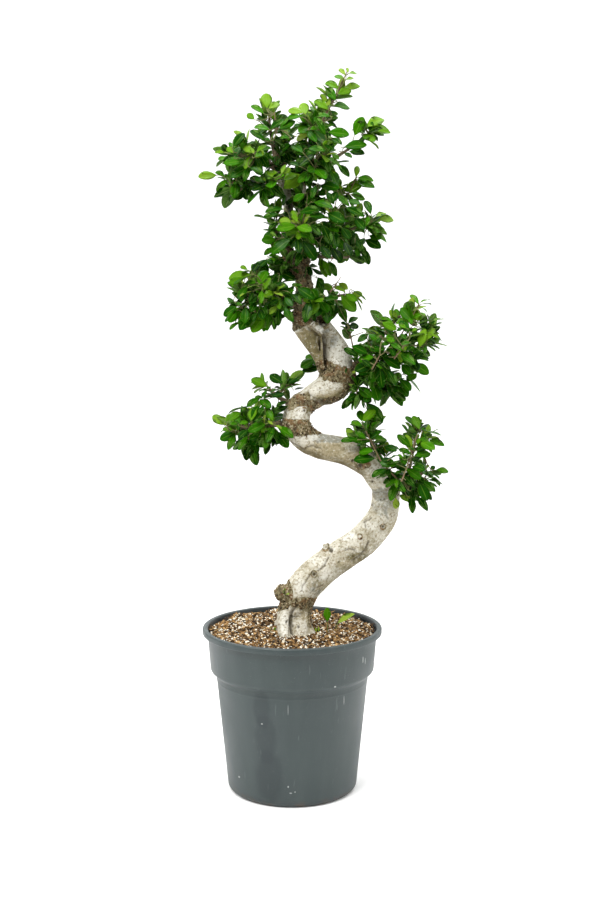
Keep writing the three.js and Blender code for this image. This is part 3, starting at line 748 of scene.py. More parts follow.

# Marks on the front of the wood, as [x, z] on it: creases are [width, depth, ...places], pits are
# [x, z, radius, depth], patches are [x, z, half width, half height, strength]
# The grooves of the creases and the pits are also painted dark as shade, in markWood
creases = [
    [2.4, 2.6, [8, 320], [0, 308], [-3, 294], [-3, 276], [2, 264]],
    [1.5, 1.6, [31, 372], [22, 358], [17, 352], [16, 344]],
    [1.8, 2.0, [44, 378], [49, 380], [54, 385]],
    [1.6, 1.4, [60, 397], [56, 390], [53, 384]],
    [1.6, 2.4, [87, 409], [95, 411], [103, 409]],
    [2.2, 3.0, [126, 421], [121, 408], [110, 397], [98, 390]],
    [1.7, 2.0, [118, 452], [126, 456], [131, 460]],
    [1.5, 1.2, [120, 452], [122, 445]],
    [1.8, 1.8, [-2, 588], [12, 580], [20, 575], [23, 580], [33, 582], [47, 577]],
    [2.0, 1.6, [30, 664], [52, 652], [70, 652], [82, 662], [86, 674]],
    [1.5, 1.4, [4, 782], [18, 788], [30, 790], [36, 786]],
    [2.0, -1.8, [7, 767], [18, 773], [29, 777], [37, 784], [41, 792]],
    [1.5, 1.8, [26, 773], [33, 768], [41, 762], [47, 757]],
    [1.6, 1.4, [100, 556], [106, 548], [110, 540]],
    [1.4, 1.2, [64, 440], [70, 436], [78, 438]],
    [1.4, 1.0, [30, 340], [38, 348], [50, 352]],
    [1.4, 1.0, [136, 500], [146, 503], [156, 500]],
]
pits = [
    [49, 781, 6.5, 9.0], [112, 548, 4.5, 3.0], [99, 556, 3.0, 2.0], [64, 408, 3.2, 3.4],
    [77, 390, 1.8, 1.0], [100, 399, 2.0, 1.0], [10, 286, 2.2, 2.2], [1, 285, 2.0, 2.0],
    [9, 269, 2.6, 2.4], [-9, 294, 1.8, 1.6], [150, 446, 2.6, 2.2], [36, 371, 2.8, 2.2],
    [132, 520, 2.2, 1.4], [131, 494, 2.2, 1.4], [132, 479, 2.0, 1.2], [146, 490, 1.8, 1.0],
    [152, 491, 1.8, 1.0], [24, 700, 2.2, 1.2], [20, 640, 2.2, 1.4], [60, 740, 1.8, 1.0],
]
rings = [  # raised healed rings round old leaf stalks and twigs: [x, z, radius, height]
    [36, 371, 5.0, 1.6], [150, 446, 4.6, 1.4], [54, 412, 6.0, 1.4], [112, 548, 7.0, 1.2],
    [49, 781, 9.5, 1.6], [112, 430, 4.0, 0.8], [20, 640, 5.0, 0.9],
]
patches = {
    "rough": [
        [74, 697, 28, 13, 1.0], [58, 700, 14, 14, 1.0], [92, 690, 14, 18, 1.0], [12, 612, 32, 13, 1.0],
        [-2, 650, 12, 11, 0.6], [14, 655, 16, 9, 0.7], [35, 646, 12, 13, 0.9], [62, 656, 18, 7, 0.8],
        [88, 665, 12, 10, 0.9], [21, 324, 24, 10, 0.9], [30, 300, 6, 22, 0.6], [52, 788, 16, 8, 0.8],
        [122, 548, 9, 8, 0.6], [16, 850, 40, 50, 0.75]],
    "grey": [
        [64, 596, 40, 11, 0.95], [146, 500, 17, 12, 1.0], [150, 474, 20, 18, 0.5], [50, 772, 12, 9, 0.9],
        [68, 750, 9, 12, 0.7], [34, 338, 14, 12, 0.3], [20, 690, 16, 10, 0.4], [-8, 905, 14, 30, 0.4],
        [22, 905, 14, 30, 0.4]],
    # the olive patches near z 655–665 are partly painted shade under the middle arm
    "olive": [
        [108, 396, 20, 12, 1.0], [118, 408, 10, 9, 0.8], [84, 380, 18, 8, 0.6], [18, 322, 22, 12, 0.8],
        [32, 742, 14, 34, 0.9], [60, 657, 34, 6, 1.1], [86, 664, 18, 9, 0.9], [100, 545, 20, 8, 0.5],
        [34, 642, 12, 16, 1.0], [12, 656, 20, 8, 1.0], [38, 360, 8, 22, 0.45], [32, 296, 8, 24, 0.8],
        [4, 662, 16, 10, 0.6]],
    # the tan patches at z 660–672 are partly painted shade under the middle arm
    "tan": [
        [56, 575, 44, 16, 0.8], [96, 560, 32, 16, 0.8], [28, 742, 24, 40, 1.5], [66, 660, 36, 11, 1.3],
        [90, 672, 16, 14, 1.1], [124, 535, 14, 12, 0.4], [96, 386, 26, 9, 0.6], [54, 352, 14, 10, 0.5],
        [165, 450, 10, 40, 0.3], [22, 294, 15, 24, 0.7]],
    # mostly painted shade, under the middle arm and in and around the cut knot's hole
    "dark": [
        [20, 653, 16, 4, 0.6], [58, 655, 36, 6, 0.8], [28, 787, 30, 7, 0.45], [49, 782, 7, 8, 1.0],
        [8, 774, 9, 6, 0.5]],
    # painted shade inside the slit, on surfaces at any facing
    "deep": [[48, 738, 7, 28, 1.0], [49, 716, 6, 12, 1.0]],
    "pale": [
        [44, 771, 9, 6, 0.9], [12, 636, 10, 9, 0.85], [70, 680, 20, 8, 0.4], [50, 670, 18, 10, 0.4],
        [76, 732, 13, 26, 0.7], [92, 430, 14, 8, 0.9], [-12, 290, 7, 22, 0.8], [16, 284, 10, 14, 0.6],
        [140, 540, 18, 9, 0.6], [14, 352, 10, 12, 0.7], [40, 392, 16, 8, 0.6], [130, 448, 12, 8, 0.6],
        [34, 596, 14, 6, 0.7], [-11, 976, 8, 10, 0.6], [10, 997, 8, 9, 0.6]],
}
# Rough brown rings round the wood: [x, y, z, half width, reach, lean of the axis from upright, strength]
roughBands = [
    [-16, -20, 333, 19, 26, 80, 1.0], [10, -17, 611, 12, 36, 4, 1.0], [4, -14, 654, 8, 28, -25, 0.6],
    [76, 8, 698, 15, 40, 16, 1.0], [20, 0, 792, 17, 34, -18, 1.0], [21, 0, 816, 16, 28, 0, 0.9],
    [12, 0, 850, 24, 24, 0, 0.8], [-4, 0, 890, 22, 20, -10, 0.8], [18, 0, 880, 16, 16, 10, 0.5],
]


def trunkLines():
    others = legsAndRoots + upperStem + stubsAndScars
    return [smoothPath(mainStem, 120)] + [smoothPath(path, 10 * (len(path) - 1)) for path in others]


def boughLines():
    lines = []
    for bough in boughs.values():
        line = smoothPath(bough["path"], 6 * (len(bough["path"]) - 1))
        lines.append([(point, radius * woodFacts["boughSlimness"]) for point, radius in line])
    return lines


def reliefTree(material):
    tree, start = newTree("bark relief", {"Lumps": 1.0, "Ripples": 1.0, "Pores": 1.0})
    spot = start.make("GeometryNodeInputPosition")
    lumps = grain(start, spot, 17, 2) - 0.5
    ripples = grain(start, spot, 60, 3) - 0.5
    pores = grain(start, spot, 260, 2, 0.6) - 0.5
    lift = lumps * start.port("Lumps") + ripples * start.port("Ripples") + pores * start.port("Pores")
    moved = start.make("GeometryNodeSetPosition", None, {
        "Geometry": start, "Offset": start.make("GeometryNodeInputNormal") * lift})
    endTree(moved, material)
    return tree


def speckle(spots, scale, key):  # smooth noise of about -1 to 1 from a few slanted waves
    total = np.zeros(len(spots))
    for k in range(7):
        way = np.array([draw(key + 3 * k) - 0.5, draw(key + 3 * k + 1) - 0.5, draw(key + 3 * k + 2) - 0.5])
        way *= scale * (0.7 + 0.25 * k) / np.linalg.norm(way)
        total += np.sin(spots @ way + 6.28 * draw(key + k + 0.5)) / (1 + 0.15 * k)
    return total / 3.2


def soft(value, start, end):  # 0 at start to 1 at end
    share = np.clip((value - start) / (end - start), 0, 1)
    return share * share * (3 - 2 * share)


def awayFromLine(flat, line):  # distance of each [x, z] from a chain of places
    best = np.full(len(flat), 1e9)
    for a, b in zip(np.array(line, float), np.array(line[1:], float)):
        share = np.clip(((flat - a) @ (b - a)) / ((b - a) @ (b - a)), 0, 1)
        best = np.minimum(best, np.linalg.norm(flat - a - share[:, None] * (b - a), axis=1))
    return best


def mark(mesh, name, values):
    mesh.attributes.new(name, "FLOAT", "POINT").data.foreach_set("value", values)


def markWood(mesh):
    count = len(mesh.vertices)
    spots = np.empty(count * 3)
    normals = np.empty(count * 3)
    mesh.vertices.foreach_get("co", spots)
    mesh.vertex_normals.foreach_get("vector", normals)
    spots = spots.reshape(-1, 3) / mm
    normals = normals.reshape(-1, 3)
    flat = spots[:, [0, 2]]
    front = soft(-normals[:, 1], 0.0, woodFacts["facing"]) * (spots[:, 1] < woodFacts["frontOf"])
    wobble = speckle(spots, 0.35, 11)
    tones = {name: np.zeros(count) for name in ("rough", "dark", "grey", "olive", "tan", "pale")}
    # painted shade with some algae: the wood is marked where it faces down
    tones["grime"] = soft(-normals[:, 2] + 0.18 * speckle(spots, 0.12, 71), 0.35, 0.95)
    lift = np.zeros(count)
    for width, depth, *line in creases:
        away = awayFromLine(flat + 0.8 * wobble[:, None], line)
        cut = np.exp(-(away / width) ** 2) * front
        lift -= depth * cut
        lift += 0.35 * depth * np.exp(-((away - 2.2 * width) / width) ** 2) * front
        # painted shade along the floor of each groove; a ridge is painted pale
        creaseTone = 0.85 * soft(cut, 0.35, 1.0) * (0.7 + 0.3 * wobble)
        shade = "dark" if depth > 0 else "pale"  # a ridge where the depth is below zero
        tones[shade] = np.maximum(tones[shade], creaseTone)
    # painted shade: each pit is coloured dark as well as cut in
    for x, z, radius, depth in pits:
        away = np.linalg.norm(flat - [x, z], axis=1) + 0.5 * wobble
        cut = soft(away, radius * 1.25, radius * 0.45) * front
        lift -= depth * cut
        tones["dark"] = np.maximum(tones["dark"], cut)
    for x, z, radius, height in rings:
        away = np.linalg.norm(flat - [x, z], axis=1) + 0.6 * wobble
        ring = np.exp(-((away - radius) / (0.35 * radius)) ** 2) * front
        lift += height * ring
        tones["rough"] = np.maximum(tones["rough"], 0.6 * ring)
    middle, half = woodFacts["slit"]
    inSlit = (np.abs(spots[:, 1] - middle) < half) * 1.0
    for kind, places in patches.items():
        # deep patches are painted shade inside the slit, added to the dark tone
        name = "dark" if kind == "deep" else kind
        shown = inSlit if kind == "deep" else front
        for x, z, wide, high, strength in places:
            away = np.hypot((flat[:, 0] - x) / wide, (flat[:, 1] - z) / high)
            away += 0.25 * speckle(spots, 0.2, 40) + 0.12 * speckle(spots, 0.6, 44)
            tones[name] = np.maximum(tones[name], strength * soft(away, 1.25, 0.65) * shown)
    crumbly = speckle(spots, 0.9, 23) * 0.6 + speckle(spots, 0.45, 29) * 0.6
    for x, y, z, half, reach, lean, strength in roughBands:
        way = np.array([math.sin(math.radians(lean)), 0, math.cos(math.radians(lean))])
        offset = spots - [x, y, z]
        along = np.abs(offset @ way) + 3.0 * speckle(spots, 0.22, 51) + 2.0 * speckle(spots, 0.6, 57)
        away = np.linalg.norm(offset, axis=1)
        band = soft(along, half * 1.25, half * 0.6) * soft(away, reach * 1.15, reach)
        tones["rough"] = np.maximum(tones["rough"], strength * band)
    tones["rough"] *= 1 - tones["pale"]
    lift += tones["rough"] * woodFacts["roughLift"] * (0.25 + 0.55 * crumbly)
    # painted shade: the low places between the crumbs of rough bark are coloured dark
    tones["dark"] = np.maximum(tones["dark"], tones["rough"] * soft(-crumbly, 0.35, 0.9) * 0.8)
    spots += normals * lift[:, None]
    mesh.vertices.foreach_set("co", (spots * mm).ravel())
    for name, values in tones.items():
        mark(mesh, name, values)
    mark(mesh, "bed", tones["rough"] - 0.1 + 0.25 * wobble)  # crumbs stick to the rough places
    mesh.update()


def barkMaterial():
    made, shader, spot = newMaterial("ficus bark", {"Specular IOR Level": 0.25})
    tones = {name: attribute(shader, name)
             for name in ("rough", "dark", "grey", "olive", "tan", "pale", "grime")}
    broad = grain(shader, spot, 26, 4, 0.6)
    mid = grain(shader, spot, 110, 4, 0.65)
    fleck = grain(shader, spot, 260, 3, 0.6)
    fine = grain(shader, spot, 560, 3, 0.7)
    rings = grain(shader, spot, 60, 4, 0.7, (0.6, 0.6, 2.2))
    base = (broad * 0.4 + rings * 0.25 + mid * 0.35).ramp([
        (0.38, (0.29, 0.255, 0.175)), (0.47, (0.43, 0.395, 0.3)), (0.54, (0.54, 0.51, 0.42)),
        (0.64, (0.66, 0.645, 0.57))])
    base = (tones["tan"] * mid.fade(0.2, 0.5)).mix(base, (0.3, 0.245, 0.125))
    mossy = (grain(shader, spot, 44, 5, 0.65).fade(0.52, 0.68) * 0.5 + tones["olive"]) * mid.fade(0.34, 0.58)
    base = mossy.mix(base, (0.13, 0.112, 0.045))
    stone = grain(shader, spot, 33, 4, 0.6).fade(0.55, 0.7) * 0.35 + tones["grey"]
    base = ((stone + (mid - 0.5) * 1.2).fade(0.3, 0.75) * 0.85).mix(base, (0.22, 0.225, 0.19))
    base = (tones["pale"] * mid.fade(0.25, 0.55)).mix(base, (0.7, 0.685, 0.61))
    base = (fleck.fade(0.53, 0.62) * 0.75).mix(base, (0.2, 0.16, 0.085))
    base = (fleck.fade(0.45, 0.32) * 0.45).mix(base, (0.72, 0.71, 0.65))
    base = (mid.fade(0.56, 0.66) * fine.fade(0.42, 0.56) * 0.75).mix(base, (0.16, 0.115, 0.052))
    # painted shade with some algae: surfaces facing down turn olive-brown
    base = (tones["grime"] * broad.fade(0.3, 0.55)).mix(base, (0.1, 0.078, 0.032))
    brown = (fine * 0.3 + fleck * 0.4 + mid * 0.3).ramp([
        (0.38, (0.025, 0.017, 0.008)), (0.47, (0.1, 0.078, 0.035)), (0.54, (0.21, 0.175, 0.09)),
        (0.64, (0.46, 0.42, 0.3))])
    rusty = grain(shader, spot, 90, 3).fade(0.52, 0.62) * 0.5
    brown = rusty.mix(brown, (0.2, 0.085, 0.032))
    base = (tones["rough"] * 1.3 + (mid - 0.5) * 1.6).fade(0.3, 0.62).mix(base, brown)
    base = (tones["dark"] * 0.85).mix(base, (0.04, 0.028, 0.013))
    bump = bumps(mid + fleck * 0.5 + fine * 0.3 + rings * 0.4, 1.0, 0.0016)
    feed(shader, {"Base Color": base, "Roughness": mid.fade(0.2, 0.8, 0.62, 0.85), "Normal": bump})
    return made


def boughMaterial():
    made, shader, spot = newMaterial("young bark", {"Specular IOR Level": 0.25})
    broad = grain(shader, spot, 40, 4, 0.6)
    fine = grain(shader, spot, 420, 3, 0.7)
    base = (broad * 0.6 + fine * 0.4).ramp([
        (0.32, (0.06, 0.045, 0.025)), (0.5, (0.16, 0.12, 0.07)), (0.7, (0.34, 0.28, 0.19))])
    bump = bumps(fine, 0.6, 0.001)
    feed(shader, {"Base Color": base, "Roughness": broad.fade(0.2, 0.8, 0.65, 0.85), "Normal": bump})
    return made


def fusedWood(name, lines, voxel, relief, finish):  # round limbs along the lines, grown into one skin
    radii = [radius * mm for line in lines for _, radius in line]
    paths = [[point * mm for point, _ in line] for line in lines]
    host = polylines(name + "_paths", paths, {"thickness": radii})
    runTree(host, tubeTree("limbs", finish), {"Sides": woodFacts["sides"]})
    fused = host.modifiers.new("fused", "REMESH")
    fused.mode = "VOXEL"
    fused.voxel_size = voxel * mm
    eased = host.modifiers.new("eased", "SMOOTH")
    eased.iterations = woodFacts["smoothing"]
    runTree(host, reliefTree(finish), {key: value * mm for key, value in relief.items()})
    wood = plainPiece(host, name)
    smooth(wood.data)
    return wood


def makeWood():
    f = woodFacts
    trunk = fusedWood("ficus_trunk", trunkLines(), f["voxel"], f["relief"], barkMaterial())
    markWood(trunk.data)
    place(trunk, "bark", ["trunk"])
    crumbs = soilMaterial("bark crumbs", [
        (0.15, (0.02, 0.013, 0.006)), (0.4, (0.09, 0.05, 0.02)), (0.6, (0.2, 0.135, 0.06)),
        (0.85, (0.45, 0.38, 0.25))], 0.8)
    scatter("bark_crumbs", trunk.data, crumbs, "bark", f["crumbs"])
    limbs = fusedWood("ficus_boughs", boughLines(), f["boughVoxel"], f["boughRelief"], boughMaterial())
    place(limbs, "bark")
    return trunk, limbs


# Leaves and twigs

leafFacts = {
    "length": 43, "width": 24, "rib": 0.9, "petiole": 0.16, "twigSides": 6,
    "stations": [0.1, 0.26, 0.44, 0.62, 0.78, 0.9, 0.97],
    # Four sorts of leaf: share of the width, fold along the rib, arch and wave
    "sorts": [(1.0, 0.22, 3.0, 0.5), (0.84, 0.4, 5.0, 0.9), (1.1, 0.14, 2.0, 0.4), (0.78, 0.3, 7.5, 1.2)],
    "clearance": 5.0, "boughClearance": 2.0, "tipTilt": 36, "baseTilt": 76, "hang": 0.65, "spread": 0.35,
    "facesSky": 0.55,
}
shootFacts = {
    "leafPastTwig": 0.78, "shortest": 14, "thickness": 1.9, "sideThickness": 1.5, "sag": 0.1,
    "firstFork": 0.35, "nextFork": 0.2, "fillShortest": 8, "fillThickness": 1.15, "fillSize": 0.8,
    "fillSpread": 0.25,
    "lastFootShare": 0.98, "footSpread": 0.62, "gaps": [0, 4, 9, 15, 22, 30, 39, 48, 58],
    "rise": 10, "freshAbove": 0.1, "freshShare": 0.22, "leafyShare": 0.92, "leafScale": 0.88, "tipReach": 26,
    "inside": 0.3, "spacing": 17, "tries": 1400, "nearest": 15, "longestTwig": 78, "besideOwn": 12,
    "stalkStart": 8, "stalkThickness": 0.9, "steps": 8,
}

# A pad of leaves is the boughs that bear it and the lobes that it fills: [x, y, z] and half sizes
pads = {
    "crown": {
        "boughs": ["crown_leader", "crown_right", "crown_left", "crown_upper_left", "crown_low_left"],
        "lobes": [
            [-78, 0, 1038, 46, 52, 30], [2, 0, 1066, 58, 70, 54], [-16, -10, 1090, 24, 40, 34],
            [-42, 0, 1106, 16, 20, 30], [62, 0, 1112, 15, 20, 28], [119, 0, 1098, 36, 38, 12],
            [20, 0, 1000, 50, 76, 40], [-88, 0, 1016, 32, 38, 14], [19, 0, 1108, 18, 22, 22],
            [8, 10, 1072, 26, 40, 26], [-66, 6, 1088, 16, 26, 18], [46, -24, 972, 24, 26, 20],
            [10, -10, 1118, 16, 18, 16], [-60, 0, 1088, 22, 26, 18]],
    },
    "middle": {
        "boughs": ["middle_right", "middle_low", "middle_left", "middle_front", "middle_back"],
        "lobes": [
            [37, 0, 942, 70, 82, 52], [114, 0, 934, 30, 38, 26], [-8, -20, 935, 26, 48, 40],
            [-22, 0, 880, 16, 24, 18], [44, -16, 874, 18, 24, 12], [-4, -28, 886, 24, 22, 20],
            [88, 0, 984, 20, 28, 20]],
    },
    "left": {
        "boughs": ["left_out", "left_right"],
        "lobes": [
            [-60, 0, 828, 47, 60, 56], [-62, -4, 784, 34, 40, 14], [8, 0, 821, 44, 64, 34],
            [-4, -22, 860, 24, 26, 24], [8, -32, 830, 34, 22, 24]],
    },
    "right": {
        "boughs": ["right_out", "right_up", "right_down"],
        "lobes": [
            [178, 0, 748, 54, 62, 48], [218, 0, 785, 28, 32, 34], [131, 0, 722, 46, 54, 30],
            [156, 0, 696, 32, 40, 18], [106, 10, 738, 14, 20, 20], [200, 0, 790, 24, 30, 16],
            [92, -22, 664, 14, 14, 14], [90, 10, 766, 14, 22, 26], [110, -16, 692, 26, 28, 16]],
    },
    "lower_left": {
        "boughs": ["lower_left_out", "lower_left_up"],
        "lobes": [
            [-58, -6, 610, 48, 58, 36], [-16, 8, 678, 30, 24, 20], [-50, 0, 656, 28, 30, 20],
            [-46, 6, 652, 20, 20, 16], [-16, -34, 598, 20, 20, 22]],
    },
    "lower_right": {
        "boughs": ["lower_right_out", "lower_right_up", "lower_right_tall"],
        "lobes": [
            [125, 0, 598, 30, 28, 40], [184, 0, 553, 52, 54, 40], [206, 0, 516, 35, 40, 24],
            [206, 0, 600, 22, 18, 30], [108, -10, 608, 16, 18, 18], [96, -8, 610, 16, 16, 20]],
    },
}
freshReaches = [
    [152, 14, 1100], [97, 14, 1176], [-41, 6, 1140], [18, -18, 1132], [-72, 14, 1092], [120, 18, 980],
    [125, 14, 822], [-82, 14, 640], [142, 4, 652], [200, -4, 638], [206, 14, 800], [236, 14, 788],
    [220, -4, 816], [-20, -58, 968], [-58, -84, 1050], [-78, 14, 872],
]
# Gaps between the pads where no shoot bears a leaf: [x, z] and half sizes
clearings = [
    [100, 1048, 26, 34], [136, 786, 14, 22], [62, 802, 16, 12], [-80, 633, 9, 8], [58, 884, 14, 10],
    [-100, 980, 22, 12],
]
